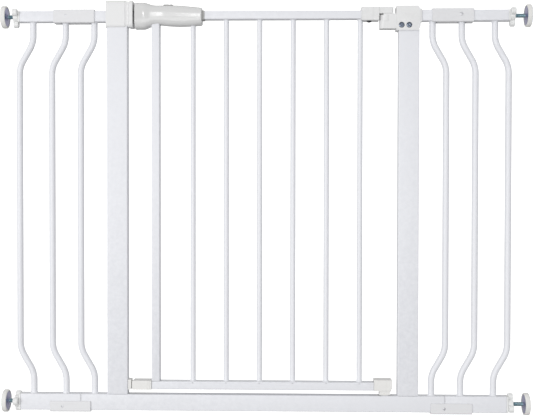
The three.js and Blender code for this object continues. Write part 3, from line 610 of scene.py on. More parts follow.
def end_plug(side, sign, level):
    """A flanged plug in a rail's end, bored for the spindle."""
    node = f"{side}_{level}_end_plug"
    low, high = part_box(node)
    inner, outer = (low.x, high.x) if sign > 0 else (high.x, low.x)
    flange = outer - sign * 2.8 * MM
    middle, height = middle_of(node, 2), (high.z - low.z) / 2
    outline = [(u, middle + v) for u, v in rounded_rect((high.y - low.y) / 2, height, CORNER)]
    plate = prism("x", outline, sorted((flange, outer)))
    shell = [(u, middle + v) for u, v in rounded_rect(PLUG_HALF, height - INSET, 0.8 * MM)]
    spigot = prism("x", shell, sorted((inner, flange + sign * 0.5 * MM)))
    bore = rod("x", 4.6 * MM, (0, middle), (low.x - MM, high.x + MM))
    dress(fuse(f"{node}_cap", [plate, spigot], [bore], 0.5 * MM), CLEAR_WHITE, node)


LOBE_R = 6.5 * MM
LOBE_AT = 13.5 * MM
HUB_R = 11 * MM
KNOB_HOLE_R = 4.3 * MM
DIMPLE_R = 3 * MM


def knob_radius(angle):
    """The three-lobed outline of the hand knob, with its hollows filleted."""
    reach = HUB_R
    soft = 12
    total = HUB_R**soft
    for i in range(3):
        swing = angle - 2 * pi * i / 3
        offset = LOBE_AT * sin(swing)
        if cos(swing) > 0 and abs(offset) < LOBE_R:
            reach = LOBE_AT * cos(swing) + (LOBE_R**2 - offset**2) ** 0.5
            total += reach**soft
    return total ** (1 / soft)


def hand_knob(side, sign, level):
    """The knob, with rounded edges, a raised boss round the thread and a dimple on each lobe."""
    node = f"{side}_{level}_hand_knob"
    low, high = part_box(node)
    start, end = low.x, high.x
    middle = middle_of(f"{side}_{level}_spindle", 2)
    turn = pi if level == "top" else {"left": pi / 5, "right": 0}[side]
    sides = 132
    edge = quarter(1.4 * MM, 4)
    radii = [knob_radius(2 * pi * i / sides - turn) for i in range(sides)]
    rings = []

    def ring(x, radius_of):
        points = []
        for i in range(sides):
            angle = 2 * pi * i / sides
            radius = radius_of(i)
            points.append((x, radius * sin(angle), middle + radius * cos(angle)))
        rings.append(points)

    dish = 0.8 * MM
    ring(end - dish, lambda i: KNOB_HOLE_R)
    ring(end - dish, lambda i: HUB_R * 0.62)
    ring(end, lambda i: HUB_R * 0.70)
    for back, inset in reversed(edge):
        ring(end - back, lambda i: radii[i] - inset)
    for back, inset in edge:
        ring(start + back, lambda i: radii[i] - inset)
    ring(start, lambda i: KNOB_HOLE_R + 1.2 * MM)
    ring(start + MM, lambda i: KNOB_HOLE_R)
    piece = through_rings(f"{node}_body", rings, closed=True, sharp=45)
    dimples = []
    for i in range(3):
        angle = turn + 2 * pi * i / 3
        place = (LOBE_AT * sin(angle), middle + LOBE_AT * cos(angle))
        face = end if sign > 0 else start
        dimples.append(rod("x", DIMPLE_R, place, (face - MM, face + MM), 32))
    piece = fuse(f"{node}_body", [piece], dimples, bevel=0, sharp=45)
    dress(piece, CLEAR_WHITE, node)


THREAD_PITCH = 1.25 * MM
THREAD_DEPTH = 0.62 * MM
# The disc's inner face, from its hub to its rim, as shares of the cone's length and the disc's radius.
DISC_DISH = [(0.55, 0.52), (0.62, 0.62), (0.66, 0.72), (0.78, 0.80), (0.92, 0.90), (0.98, 0.97), (1.0, 1.0)]


def spindle(side, sign, level):
    """A threaded rod that ends in a pressed disc with a raised hub and a rolled rim."""
    node = f"{side}_{level}_spindle"
    low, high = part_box(node)
    middle, disc_r = middle_of(node, 2), (high.z - low.z) / 2
    inner, outer = (low.x, high.x) if sign > 0 else (high.x, low.x)
    rod_r, hub_r, cone, thick = 4 * MM, 7 * MM, 2.5 * MM, 1.5 * MM
    back = outer - sign * thick
    hub = back - sign * cone
    length = abs(hub - inner)
    rows = int(length / THREAD_PITCH * 6)
    sides = 48
    rings = []

    def ring(x, radius_of):
        points = []
        for j in range(sides):
            angle = 2 * pi * j / sides
            radius = radius_of(angle)
            points.append((x, radius * cos(angle), middle + radius * sin(angle)))
        rings.append(points)

    for i in range(rows + 1):
        along = length * i / rows
        run_in = min(1.0, along / (2 * MM), (length - along) / (1.5 * MM))

        def thread(angle):
            phase = (along / THREAD_PITCH + angle / (2 * pi)) % 1.0
            crest = abs(2 * phase - 1)
            tip = 0.7 * MM * max(0, 1 - along / MM)
            return rod_r - THREAD_DEPTH * (1 - crest) * run_in - tip

        ring(inner + sign * along, thread)
    for share, radius in ((0.0, hub_r - 0.4 * MM), (0.12, hub_r), (0.4, hub_r + 0.8 * MM)):
        ring(hub + sign * cone * share, lambda angle, radius=radius: radius)
    for share, wide in DISC_DISH:
        rib = 0.12 * MM if 0.6 < wide < 0.95 else 0

        def ribbed(angle, wide=wide, rib=rib):
            return disc_r * wide + rib * cos(12 * angle)

        ring(hub + sign * cone * share, ribbed)
    ring(outer - sign * 0.3 * MM, lambda angle: disc_r)
    ring(outer, lambda angle: disc_r - 0.4 * MM)
    piece = through_rings(f"{node}_thread", rings, sharp=60)
    dress(piece, ZINC_ROD, node)
    piece.data.materials.append(ZINC_DISC)
    faces = piece.data.polygons
    limit = abs(hub) - 0.2 * MM
    faces.foreach_set("material_index", [int(abs(face.center.x) > limit) for face in faces])


def wall_pad(side, sign, level):
    """A rubber dish round the disc, with a rolled lip and concentric grip grooves on its outer face."""
    node = f"{side}_{level}_wall_pad"
    low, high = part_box(node)
    rim = (high.z - low.z) / 2 - 0.01 * MM
    inner, thick = low.x if sign > 0 else high.x, high.x - low.x
    seat_r, seat, round_r = 17.3 * MM, 0.6 * MM, 1.6 * MM
    bottom = seat + 2.1 * MM
    profile = [(bottom, 0.5 * MM), (bottom, seat_r - 0.3 * MM), (bottom - 0.3 * MM, seat_r)]
    profile += [(seat, seat_r), (0.15 * MM, seat_r + 0.15 * MM), (0, seat_r + 0.7 * MM), (0, rim - round_r)]
    edge = quarter(round_r, 5)
    profile += [(back, rim - side_in) for back, side_in in reversed(edge)]
    profile += [(thick - back, rim - side_in) for back, side_in in edge]
    for groove in (16, 12, 8, 4):
        for offset, depth in ((0.9, 0), (0.5, 0.55), (-0.5, 0.55), (-0.9, 0)):
            profile.append((thick - depth * MM, (groove + offset) * MM))
    profile.append((thick, 0.5 * MM))
    profile = [(inner + sign * along, radius) for along, radius in profile]
    piece = lathe(f"{node}_dish", profile, "x", (0, 0, middle_of(node, 2)), sharp=50)
    dress(piece, RUBBER, node)


def adjusters():
    """The joiner, plug, knob, spindle and pad at each of the gate's four corners."""
    for side, sign in SIDES:
        for level in ("top", "bottom"):
            joiner(side, sign, level)
            end_plug(side, sign, level)
            hand_knob(side, sign, level)
            spindle(side, sign, level)
            wall_pad(side, sign, level)


# ---------------------------------------------------------------- lofted mouldings


def smooth_rows(rows, per_span):
    """More rows between the given ones, on a smooth curve through them all."""
    rows = np.array(rows, float)
    padded = np.vstack([2 * rows[0] - rows[1], rows, 2 * rows[-1] - rows[-2]])
    out = []
    for i in range(1, len(padded) - 2):
        a, b, c, d = padded[i - 1 : i + 3]
        for step in range(per_span):
            t = step / per_span
            part = 2 * b + (c - a) * t + (2 * a - 5 * b + 4 * c - d) * t**2
            out.append(0.5 * (part + (3 * b - a - 3 * c + d) * t**3))
    out.append(rows[-1])
    return out


def loft(rows, sides=96):
    """A solid through sections given as (x, middle height, half height, half depth, squareness).

    The squareness is the power of the section's outline: 1 is an ellipse, nearly 0 is a rectangle.
    """

    def bulge(value, power):
        return np.sign(value) * abs(value) ** power

    rings = []
    for x, middle, half_high, half_deep, power in rows:
        ring = []
        for i in range(sides):
            angle = 2 * pi * (i + 0.5) / sides
            y, z = bulge(cos(angle), power), bulge(sin(angle), power)
            ring.append((x, half_deep * y, middle + half_high * z))
        rings.append(ring)
    return through_rings("part", rings)


# The latch housing's rows: the place that a row counts from, then in mm how far along it is, how much it
# is lowered and what it loses in half height and in half depth, and last its squareness.
HOUSING_LINE = (
    ("left", 0, 0, 2.2, 2.2, 0.3),
    ("left", 0.5, 0, 1.1, 1.1, 0.3),
    ("left", 1.4, 0, 0.3, 0.3, 0.3),
    ("left", 3, 0, 0, 0, 0.3),
    ("shoulder", -9, 0, 0, 0, 0.3),
    ("shoulder", -6, 0, 0.1, 0.2, 0.3),
    ("shoulder", -3.6, 0, 0.6, 1.1, 0.3),
    ("shoulder", -1.6, 0, 1.2, 1.6, 0.3),
    ("shoulder", 0.6, 0.2, 1.3, 1.3, 0.3),
    ("flange", 2.2, 0.4, 1.0, 2.6, 0.32),
    ("flange", 3, 0.4, 0.7, 0.8, 0.36),
    ("flange", 3.9, 0.4, 0.4, 0.15, 0.38),
    ("flange", 5.2, 0.4, 0.3, 0, 0.38),
    ("mouth", -1.6, 0.4, 0.3, 0, 0.38),
    ("mouth", -0.5, 0.4, 0.7, 0.2, 0.38),
    ("mouth", -0.12, 0.4, 1.2, 0.6, 0.38),
    ("mouth", 0, 0.4, 1.8, 1.1, 0.38),
)


def latch_housing():
    """The cap on the latch post: a block, a hollow behind its flange, and the mouth that takes the bolt."""
    low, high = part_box("latch_housing")
    left, mouth, bottom, deep = low.x, high.x, low.z, high.y
    middle, half = middle_of("latch_housing", 2), (high.z - low.z) / 2
    shoulder, body = POST_HIGH.x + MM, 13.2 * MM
    ends = {
        "left": (left, body),
        "shoulder": (shoulder, body),
        "flange": (shoulder, deep),
        "mouth": (mouth, deep),
    }
    rows = []
    for place, along, lower, less_high, less_deep, power in HOUSING_LINE:
        start, half_deep = ends[place]
        size = (half - less_high * MM, half_deep - less_deep * MM)
        rows.append((start + along * MM, middle - lower * MM, *size, power))
    shell = loft(smooth_rows(rows, 4))
    rail_low, rail_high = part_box("left_stub_rail")
    bolt_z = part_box("latch_bolt")[0].z
    cuts = [
        block((POST_LOW.x - GAP, POST_HIGH.x + GAP), ACROSS, (bottom - 20 * MM, POST_HIGH.z + GAP)),
        block((left - MM, POST_LOW.x + MM), ACROSS, (rail_low.z - GAP, rail_high.z + GAP)),
        block((mouth - 8.5 * MM, mouth + MM), (-9 * MM, 9 * MM), (bolt_z - 2 * MM, bolt_z + 21 * MM)),
    ]
    piece = fuse("latch_housing_shell", [shell], cuts, bevel=0, sharp=32)
    dress(piece, PLASTIC, "latch_housing")


HANDLE_SHELL = 2.4 * MM
HANDLE_ROUND = 0.6  # power of its section's outline
# The handle's silhouette in mm: along from its nose, underside, top, half depth.
HANDLE_LINE = [
    (0.0, 706.9, 752.3, 15.5),
    (0.35, 706.0, 753.2, 16.3),
    (1.2, 705.5, 753.7, 16.8),
    (3.0, 705.4, 753.9, 17.0),
    (9.0, 705.4, 753.9, 17.25),
    (15.5, 705.5, 753.8, 17.5),
    (20.5, 706.6, 752.9, 17.1),
    (26.5, 709.4, 751.1, 16.2),
    (33.4, 712.2, 749.1, 15.7),
    (40.0, 712.8, 748.6, 15.35),
    (46.4, 712.8, 748.6, 15.1),
    (52.5, 712.3, 748.65, 15.0),
    (61.4, 711.3, 748.7, 15.1),
    (81.4, 710.4, 748.2, 15.55),
    (101.4, 710.9, 746.3, 16.0),
    (117.4, 712.0, 744.6, 16.4),
    (121.0, 712.5, 744.1, 16.45),
    (122.2, 713.0, 743.6, 15.9),
    (122.8, 714.0, 742.6, 14.5),
]


def handle_solid(nose, inset):
    """The handle's whole form, or with an inset the room inside its shells."""
    rows = []
    length = HANDLE_LINE[-1][0]
    for along, under, top, deep in HANDLE_LINE:
        x = min(max(along * MM, inset), length * MM - inset)
        half_high, half_deep = (top - under) / 2 * MM - inset, deep * MM - inset
        rows.append((nose + x, (under + top) / 2 * MM, half_high, half_deep, HANDLE_ROUND))
    kept = [row for i, row in enumerate(rows) if i == 0 or row[0] - rows[i - 1][0] > 0.05 * MM]
    return loft(smooth_rows(kept, 4))


def handle():
    """Two half shells over the door's top corner, with room for the bolt and the button's stem."""
    low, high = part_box("handle_front_shell")
    nose, below, under_lid = low.x, low.z - 10 * MM, high.z + 9 * MM
    rail_low, rail_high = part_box("door_top_rail")
    stile_low, stile_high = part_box("latch_stile")
    bolt_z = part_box("latch_bolt")[0].z
    stem, mouth, far = 3 * MM + GAP, 8 * MM, 60 * MM
    stem_x = middle_of("thumb_button", 0)
    travel = JOINTS["latch_slide"]["range_m"][1]
    under = rail_low.z - GAP
    for side, other_half in (("front", (GAP / 2, far)), ("rear", (-far, -GAP / 2))):
        cuts = [
            handle_solid(nose, HANDLE_SHELL),
            block((rail_low.x - GAP, high.x + MM), ACROSS, (under, rail_high.z + GAP)),
            block((stile_low.x - GAP, stile_high.x + GAP), ACROSS, (below, under + MM)),
            rod("z", 5.3 * MM, (middle_of("door_bar_1", 0), 0), (below, under + MM)),
            block((nose - MM, nose + 6 * MM), (-mouth, mouth), (bolt_z - MM, bolt_z + 20 * MM)),
            block((stem_x - travel - stem, stem_x + stem), (-stem, stem), (rail_high.z, under_lid)),
            block((nose - MM, high.x + MM), other_half, (below, high.z + 10 * MM)),
        ]
        node = f"handle_{side}_shell"
        piece = fuse(f"{node}_half", [handle_solid(nose, 0)], cuts, bevel=0, sharp=32)
        dress(piece, GLOSS, node)


def handle_collar():
    """A dark grey sleeve round the rail where it leaves the handle, for the dark band at the handle's end."""
    handle_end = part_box("handle_front_shell")[1].x
    start, end = handle_end - 1.5 * MM, handle_end + 4.6 * MM
    middle = middle_of("door_top_rail", 2)
    outline = rounded_rect(11.0 * MM, 8.6 * MM, 2.4 * MM)
    sleeve = prism("x", [(u, middle + v) for u, v in outline], (start, end))
    inside = TUBE_HALF + 0.05 * MM
    rail_low, rail_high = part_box("door_top_rail")
    bore = block((start - MM, end + MM), (-inside, inside), (rail_low.z, rail_high.z))
    collar = fuse("handle_collar", [sleeve], [bore], 0.35 * MM)
    dress(collar, GREY, body="door", slot="white_plastic")


def latch_bolt():
    """The bolt, whose riser and arm reach to the thumb button."""
    low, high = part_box("latch_bolt")
    head = (low.z, low.z + 19 * MM)
    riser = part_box("latch_stile")[0].x - 4 * MM
    riser_x, thin, chamfer = (riser - 5 * MM, riser), (-4 * MM, 4 * MM), 3 * MM
    nose = [(low.x, head[0] + chamfer), (low.x + chamfer, head[0]), (riser, head[0])]
    nose += [(riser, head[1]), (low.x + chamfer, head[1]), (low.x, head[1] - chamfer)]
    parts = [
        prism("y", nose, (-high.y, high.y)),
        block(riser_x, thin, (head[1] - 0.5 * MM, high.z)),
        block((riser_x[0], high.x), thin, (high.z - 2.9 * MM, high.z)),
    ]
    dress(fuse("latch_bolt_bar", parts, (), 0.4 * MM), CLEAR_WHITE, "latch_bolt")


# The thumb button's pad in mm: up from its foot and in from its sides.
BUTTON_ROWS = ((0, 0.3), (0.3, 0), (0.6, 0), (1.0, 0.5), (1.3, 1.6))


def thumb_button():
    """The ribbed button that slides the bolt, with its stem."""
    low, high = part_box("thumb_button")
    x, length, wide = (low.x + high.x) / 2, (high.x - low.x) / 2, (high.y - low.y) / 2
    base = high.z - 1.6 * MM
    rings = []
    for up, inset in BUTTON_ROWS:
        outline = rounded_rect(length - inset * MM, wide - inset * MM, 3.6 * MM)
        rings.append([(x + u, v, base + up * MM) for u, v in outline])
    pad = through_rings("part", rings)
    stem = block((x - 3 * MM, x + 3 * MM), (-3 * MM, 3 * MM), (low.z, base + 0.5 * MM))
    span = (-wide + 2 * MM, wide - 2 * MM)
    ribs = [rod("y", 0.6 * MM, (x + i * 3 * MM, base + MM), span, 16) for i in range(-2, 3)]
    dress(fuse("thumb_button_pad", [pad, stem, *ribs], (), 0), GLOSS, "thumb_button")


# ---------------------------------------------------------------- hinge

BORE_R = 4.4 * MM  # round the pivot pin's head
PIN_HALF = 2.8 * MM  # half the width of the pin's square shank
TONGUE_DEEP = 11.2 * MM  # half the depth of the arm's tongue and of the housing under it


def rounded_corner_block(x, deep, z, radius):
    """A block whose vertical edges at its -X end are rounded."""
    steps = 8
    outline = [(x[1], -deep), (x[1], deep)]
    for start, v in ((pi / 2, deep - radius), (pi, radius - deep)):
        for i in range(steps + 1):
            angle = start + i / steps * pi / 2
            outline.append((x[0] + radius + radius * cos(angle), v + radius * sin(angle)))
    return prism("z", outline, z)


def hinge_bracket():
    """The cap on the hinge post, its collar round the rail, the spring's housing and the arm's seat."""
    low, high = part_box("hinge_bracket")
    post_low, post_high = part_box("right_post")
    rail_low, rail_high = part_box("right_stub_rail")
    deep = high.y
    wall, cap_right = post_low.x - 4.4 * MM, post_high.x + 1.3 * MM
    housing_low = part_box("spring_sleeve")[0].z - GAP
    arm_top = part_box("hinge_arm")[0].z - 2 * GAP
    block_top, boss_top = arm_top + 12.5 * MM, arm_top + 10 * MM
    steps = 8
    corner, slant_wide, slant_high = 1.2 * MM, 3.5 * MM, 7 * MM
    front = [(wall, low.z), (cap_right - 3 * MM, low.z), (cap_right, low.z + 7 * MM)]
    front += [(cap_right, high.z - slant_high), (cap_right - slant_wide, high.z)]
    for i in range(steps + 1):
        angle = pi / 2 + i / steps * pi / 2
        front.append((wall + corner + corner * cos(angle), high.z - corner + corner * sin(angle)))
    cap = prism("y", front, (-deep, deep))
    collar_low, collar_high = rail_low.z - 3 * MM, rail_high.z + 2 * MM
    middle, half = (collar_low + collar_high) / 2, (collar_high - collar_low) / 2
    outline = [(u, middle + v) for u, v in rounded_rect(deep - MM, half, 2.5 * MM)]
    collar = prism("x", outline, (post_high.x, high.x))
    housing = rounded_corner_block((low.x, wall + 4 * MM), TONGUE_DEEP, (housing_low, arm_top), 8.5 * MM)
    seat_x = (HINGE.x - 5.2 * MM, wall + MM)
    seat = rounded_corner_block(seat_x, TONGUE_DEEP, (arm_top - MM, block_top), 2 * MM)
    boss = rod("z", 12.2 * MM, (HINGE.x, 0), (arm_top - MM, boss_top), 64)
    cuts = [
        block((post_low.x - GAP, post_high.x + GAP), ACROSS, (low.z - 20 * MM, post_high.z + GAP)),
        block((post_high.x, high.x + MM), ACROSS, (rail_low.z - GAP, rail_high.z + GAP)),
        rod("z", 9.3 * MM, (HINGE.x, 0), (housing_low - MM, arm_top - 1.5 * MM), 64),
        rod("z", BORE_R, (HINGE.x, 0), (arm_top - 3 * MM, block_top + MM), 32),
    ]
    screws = []
    for node, turn in (("hinge_screw_inner", 0.35), ("hinge_screw_outer", 1.0)):
        screw_low, screw_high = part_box(node)
        at, head = (middle_of(node, 0), middle_of(node, 2)), (screw_high.x - screw_low.x) / 2
        cuts.append(rod("y", head + GAP, at, (-deep - MM, -deep + 2.6 * MM), 48))
        cuts.append(rod("y", 2.8 * MM, at, (-deep, ACROSS[0] + MM), 32))
        screws.append((node, at, screw_low.y + 0.4 * MM, head, turn, screw_high.y))
    piece = fuse("hinge_bracket_shell", [cap, collar, housing, seat, boss], cuts, bevel=0.5 * MM)
    dress(piece, BRACKET_WHITE, "hinge_bracket")
    for node, at, face, head, turn, shank_to in screws:
        screw = front_screw(f"{node}_head", at, face, head, turn, shank_to, 2.2 * MM)
        dress(screw, DARK_ZINC_PAINTED_LIGHT, node)


def hinge_arm():
    """The arm on the door's top rail, with its tongue over the hinge."""
    low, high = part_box("hinge_arm")
    rail_low, rail_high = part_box("door_top_rail")
    deep = high.y
    step = HINGE.x - 13 * MM
    tongue_start, tongue_under = step - 5 * MM, low.z + 12.2 * MM
    grip = block((low.x, step), (-deep, deep), (low.z, high.z))
    tongue_mid, tongue_half = (tongue_start + high.x) / 2, (high.x - tongue_start) / 2
    outline = [(tongue_mid + u, v) for u, v in rounded_rect(tongue_half, TONGUE_DEEP, 4 * MM)]
    tongue = prism("z", outline, (tongue_under, high.z))
    bar_x, notch = middle_of("door_bar_6", 0), 7.4 * MM
    all_z, below = (low.z - MM, high.z + MM), (low.z - MM, rail_low.z + MM)
    cuts = [
        block((low.x - MM, rail_high.x + GAP), ACROSS, (rail_low.z - GAP, rail_high.z + GAP)),
        rod("z", notch, (bar_x, 0), below, 40),
        block((low.x - MM, bar_x), (-notch, notch), below),
        rod("z", BORE_R, (HINGE.x, 0), (tongue_under - MM, high.z - 2 * MM), 32),
        front_cut((step - 11 * MM, step - 9.8 * MM), deep, 0.5 * MM, all_z),
    ]
    lip_deep = deep + 0.3 * MM
    lip = block((low.x, low.x + 1.8 * MM), (-lip_deep, lip_deep), (low.z, high.z))
    piece = fuse("hinge_arm_shell", [grip, tongue, lip], cuts, bevel=0.5 * MM)
    dress(piece, PLASTIC, "hinge_arm")


def clamp_screw():
    """The black screw that clamps the arm to the rail from below."""
    arm_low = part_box("hinge_arm")[0]
    x, top, radius, height = arm_low.x + 14.6 * MM, arm_low.z + 0.2 * MM, 4.4 * MM, 2.8 * MM
    shank_r, shank_to = 2 * MM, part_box("door_top_rail")[0].z + 0.6 * MM
    dome = [(0.0, 0.5), (0.2, 0.8), (0.55, 0.97), (1.0, 1.0)]
    profile = [(top - height + height * share, radius * wide) for share, wide in dome]
    profile += [(top, shank_r), (shank_to, shank_r)]
    screw = lathe("hinge_arm_screw", profile, "z", (x, 0, 0), sides=40)
    tools = cross_recess("z", (x, 0), top - height, 1.2 * MM, 2.4 * MM, 0.5 * MM, 0.5)
    screw = fuse("hinge_arm_screw", [screw], tools, 0.12 * MM)
    dress(screw, BLACK_SCREW, body="door", slot="zinc_plate")


def pivot_pin():
    """The square pin with its round head."""
    low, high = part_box("pivot_pin")
    head = high.z - 7.2 * MM
    shank_x, shank_y = (HINGE.x - PIN_HALF, HINGE.x + PIN_HALF), (-PIN_HALF, PIN_HALF)
    shank = block(shank_x, shank_y, (low.z, head + MM))
    cap = rod("z", 4.1 * MM, (HINGE.x, 0), (head, high.z), 32)
    dress(fuse("pivot_pin_steel", [shank, cap], (), 0.3 * MM), DARK_ZINC_PAINTED_LIGHT, "pivot_pin")


def spring_sleeve():
    """The sleeve that the square pin slides in."""
    low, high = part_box("spring_sleeve")
    flange = rod("z", 8.4 * MM, (HINGE.x, 0), (low.z, low.z + 1.4 * MM), 64)
    barrel = rod("z", 6 * MM, (HINGE.x, 0), (low.z + MM, high.z), 48)
    bore = PIN_HALF + GAP
    hole = block((HINGE.x - bore, HINGE.x + bore), (-bore, bore), (low.z - MM, high.z + MM))
    piece = fuse("spring_sleeve_body", [flange, barrel], [hole], 0.25 * MM)
    dress(piece, CLEAR_WHITE, "spring_sleeve")


def closing_spring():
    """A coil of round wire about the hinge's axis."""
    low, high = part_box("closing_spring")
    wire, coil, turns, per_turn, sides = 0.7 * MM, 7.7 * MM, 4, 40, 12
    bottom, top = low.z + wire, high.z - wire
    rings = []
    for i in range(turns * per_turn + 1):
        angle = 2 * pi * i / per_turn
        middle = Vector((HINGE.x, 0, bottom + (top - bottom) * i / (turns * per_turn)))
        out = Vector((cos(angle), sin(angle), 0))
        ring = []
        for j in range(sides):
            around = 2 * pi * j / sides
            ring.append(middle + out * (coil + wire * cos(around)) + Vector((0, 0, wire * sin(around))))
        rings.append(ring)
    dress(through_rings("closing_spring_wire", rings), SPRING, "closing_spring")


def pivot_bush():
    """A flanged cup in the threshold, closed below."""
    low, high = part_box("pivot_bush")
    wide, bore, barrel_r = (high.x - low.x) / 2, 4.7 * MM, 6.5 * MM
    floor_z, under, round_z = low.z + 2 * MM, high.z - 1.2 * MM, high.z - 0.5 * MM
    profile = [(floor_z, 0.3 * MM), (floor_z, bore), (round_z, bore), (high.z, bore + 0.5 * MM)]
    profile += [(high.z, wide - 0.8 * MM), (round_z, wide - 0.1 * MM), (under, wide)]
    profile += [(under, barrel_r), (low.z, barrel_r), (low.z, 0.3 * MM)]
    piece = lathe("pivot_bush_cup", profile, "z", (HINGE.x, 0, 0), sides=64)
    dress(piece, PLASTIC, "pivot_bush")


def hinge_foot():
    """The foot on the door's bottom rail, with the peg that stands in the bush."""
    low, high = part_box("hinge_foot")
    rail_low, rail_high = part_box("door_bottom_rail")
    deep = high.y
    left, right, bottom, top = rail_high.x + GAP, high.x, rail_low.z, high.z
    slant, corner = 5 * MM, 1.5 * MM
    front = [(left, bottom), (right - slant, bottom), (right, bottom + slant), (right, top - corner)]
    front += [(right - corner, top), (left, top)]
    body = prism("y", front, (-deep, deep))
    spigot = block((low.x, left + MM), (-PLUG_HALF, PLUG_HALF), (rail_low.z + INSET, rail_high.z - INSET))
    neck_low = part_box("pivot_bush")[1].z + GAP
    neck_left = ((-12, bottom + MM), (-9.5, bottom - 3 * MM), (-10.5, neck_low))
    neck_right = ((9.5, neck_low), (9.5, bottom - 3 * MM), (12, bottom + MM))
    outline = [(HINGE.x + out * MM, z) for out, z in neck_left + neck_right]
    neck = prism("y", outline, (-9 * MM, 9 * MM))
    peg = rod("z", 4.2 * MM, (HINGE.x, 0), (low.z, neck_low + MM), 40)
    cuts = [
        front_cut((left + 22.2 * MM, left + 22.8 * MM), deep, 0.4 * MM, (bottom - MM, top + MM)),
        rod("y", 2.2 * MM, (right - 5.6 * MM, top - 9 * MM), (-deep - MM, -deep + 0.7 * MM), 32),
        rod("y", 1.6 * MM, (HINGE.x, neck_low + 1.9 * MM), (-10 * MM, -7.6 * MM), 24),
    ]
    piece = fuse("hinge_foot_body", [body, spigot, neck, peg], cuts, bevel=0.7 * MM)
    dress(piece, CREAM, "hinge_foot")


def bottom_catch():
    """The nose on the latch end of the door's bottom rail."""
    low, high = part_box("bottom_catch")
    rail_low, rail_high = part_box("door_bottom_rail")
    right, deep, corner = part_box("latch_stile")[0].x - GAP, high.y, 1.5 * MM
    nose = [(low.x, low.z + corner), (low.x + corner, low.z), (right, low.z), (right, high.z)]
    nose += [(low.x + corner, high.z), (low.x, high.z - corner)]
    body = prism("y", nose, (-deep, deep))
    spigot = block((right - MM, high.x), (-PLUG_HALF, PLUG_HALF), (rail_low.z + INSET, rail_high.z - INSET))
    cuts = []
    for back in (7 * MM, 3.2 * MM):
        groove = (right - back, right - back + 0.6 * MM)
        cuts.append(front_cut(groove, deep, 0.4 * MM, (low.z - MM, high.z + MM)))
    piece = fuse("bottom_catch_body", [body, spigot], cuts, bevel=0.6 * MM)
    dress(piece, CREAM, "bottom_catch")


def catch_keeper():
    """The small slotted keeper on the post beside the nose."""
    low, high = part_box("catch_keeper")
    pad = block((low.x, high.x), (low.y, high.y), (low.z, high.z))
    slot_x = (middle_of("catch_keeper", 0), high.x + MM)
    slot = block(slot_x, (-3.5 * MM, 3.5 * MM), (low.z + 7 * MM, high.z + MM))
    dress(fuse("catch_keeper_pad", [pad], [slot], 0.6 * MM), CREAM, "catch_keeper")


steelwork()
adjusters()
latch_housing()
handle()
handle_collar()
latch_bolt()
thumb_button()
hinge_bracket()
hinge_arm()
clamp_screw()
pivot_pin()
spring_sleeve()
closing_spring()
pivot_bush()
hinge_foot()
bottom_catch()
catch_keeper()

# ---------------------------------------------------------------- studio


def studio_floor():
    """A pale floor that curves up into a pale backdrop."""
    front, back, wide, bend, tall = -6.0, 3.2, 7.0, 1.6, 5.0
    line = [(front, 0.0), (back - bend, 0.0)]
    steps = 24
    for i in range(1, steps + 1):
        turn = i / steps * pi / 2
        line.append((back - bend + bend * sin(turn), bend * (1 - cos(turn))))
    line.append((back, tall))
    sink = 0.2 * MM
    verts, faces = [], []
    for y, z in line:
        verts += [(-wide, y, z - sink), (wide, y, z - sink)]
    for i in range(len(line) - 1):
        faces.append((2 * i, 2 * i + 1, 2 * i + 3, 2 * i + 2))
    floor = make_object("studio_floor", verts, faces, sharp=60)
    if floor.data.polygons[0].normal.z < 0:
        floor.data.flip_normals()
    tree = Tree("pale_floor")
    tree.shader.inputs["Emission Color"].default_value = (1, 1, 1, 1)
    tree.shader.inputs["Specular IOR Level"].default_value = 0.1
    tree.shader.inputs["Emission Strength"].default_value = 0.75
    color = tree.mix(tree.spread(tree.noise(3, 4), 0, 1), (0.90, 0.90, 0.90), (0.93, 0.93, 0.93))
    floor.data.materials.append(tree.done(color, tree.spread(tree.noise(20, 3), 0.7, 0.85)))
    # It shows to the camera but throws no light back on the gate, so lower edges stay in shade.
    floor.visible_diffuse = False
    floor.visible_glossy = False
    floor.visible_shadow = False


def area_light(name, at, aim, size, power, color):
    """A rectangular light that faces a point."""
    data = bpy.data.lights.new(name, "AREA")
    data.shape = "RECTANGLE"
    data.size, data.size_y = size
    data.energy = power
    data.color = color
    light = bpy.data.objects.new(name, data)
    bpy.context.scene.collection.objects.link(light)
    light.location = at
    light.rotation_euler = (Vector(aim) - Vector(at)).to_track_quat("-Z", "Y").to_euler()


DOME_BELOW_ABOVE = (0.416, 0.64)
FLOOR_HORIZON = (-0.6, 0.3)  # the dome's light grows between these heights of its direction
HANDLE_AT = (-0.19, 0, 0.73)
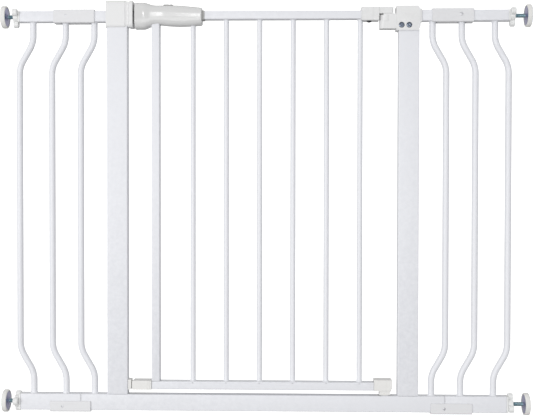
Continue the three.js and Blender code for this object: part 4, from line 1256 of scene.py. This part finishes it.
# Name, place, aim, width and height, watts and colour. The lamps make two small lights on the handle.
LIGHTS = (
    ("key", (-3.0, -3.6, 0.4), (0, 0, 0.3), (2.0, 1.6), 68, (1, 1, 1)),
    ("front", (0.0, -4.2, 0.3), (0, 0, 0.35), (2.5, 1.6), 34, (1, 1, 1)),
    ("lamp_1", (-0.43, -2.3, 1.17), HANDLE_AT, (0.06, 0.12), 1.2, (1, 1, 1)),
    ("lamp_2", (-0.31, -2.3, 1.17), HANDLE_AT, (0.06, 0.12), 1.2, (1, 1, 1)),
    ("right", (1.9, -2.0, 0.9), (0.25, 0, 0.6), (0.7, 0.5), 2, (0.9, 0.95, 1)),
)


def studio_light():
    """A pale dome, weaker below, a soft key at the left, a front and a right fill, and two lamps."""
    world = bpy.data.worlds.new("studio")
    bpy.context.scene.world = world
    world.use_nodes = True
    nodes, links = world.node_tree.nodes, world.node_tree.links
    axes = nodes.new("ShaderNodeSeparateXYZ")
    links.new(nodes.new("ShaderNodeTexCoord").outputs["Generated"], axes.inputs[0])
    share = nodes.new("ShaderNodeMapRange")
    for name, value in zip(("From Min", "From Max", "To Min", "To Max"), FLOOR_HORIZON + DOME_BELOW_ABOVE):
        share.inputs[name].default_value = value
    links.new(axes.outputs["Z"], share.inputs["Value"])
    links.new(share.outputs["Result"], nodes["Background"].inputs["Strength"])
    nodes["Background"].inputs["Color"].default_value = (1, 1, 1, 1)
    for light in LIGHTS:
        area_light(*light)


CAMERA_AT = (0.0488, -1.75, 0.41)
CAMERA_YAW, CAMERA_PITCH, CAMERA_ROLL = 0.0259, -0.0176, -0.0014
FOCAL_WIDTHS = 1.79  # focal length as a share of the picture's width


def camera():
    """The camera that took the photograph."""
    data = bpy.data.cameras.new("camera")
    data.sensor_width = 36
    data.lens = FOCAL_WIDTHS * data.sensor_width
    obj = bpy.data.objects.new("camera", data)
    bpy.context.scene.collection.objects.link(obj)
    turn = Matrix.Rotation(CAMERA_YAW, 4, "Z") @ Matrix.Rotation(CAMERA_PITCH, 4, "X")
    turn = turn @ Matrix.Rotation(CAMERA_ROLL, 4, "Y") @ Matrix.Rotation(pi / 2, 4, "X")
    obj.matrix_world = Matrix.Translation(CAMERA_AT) @ turn
    bpy.context.scene.camera = obj


studio_floor()
studio_light()
camera()
bpy.context.scene.view_settings.view_transform = "Standard"
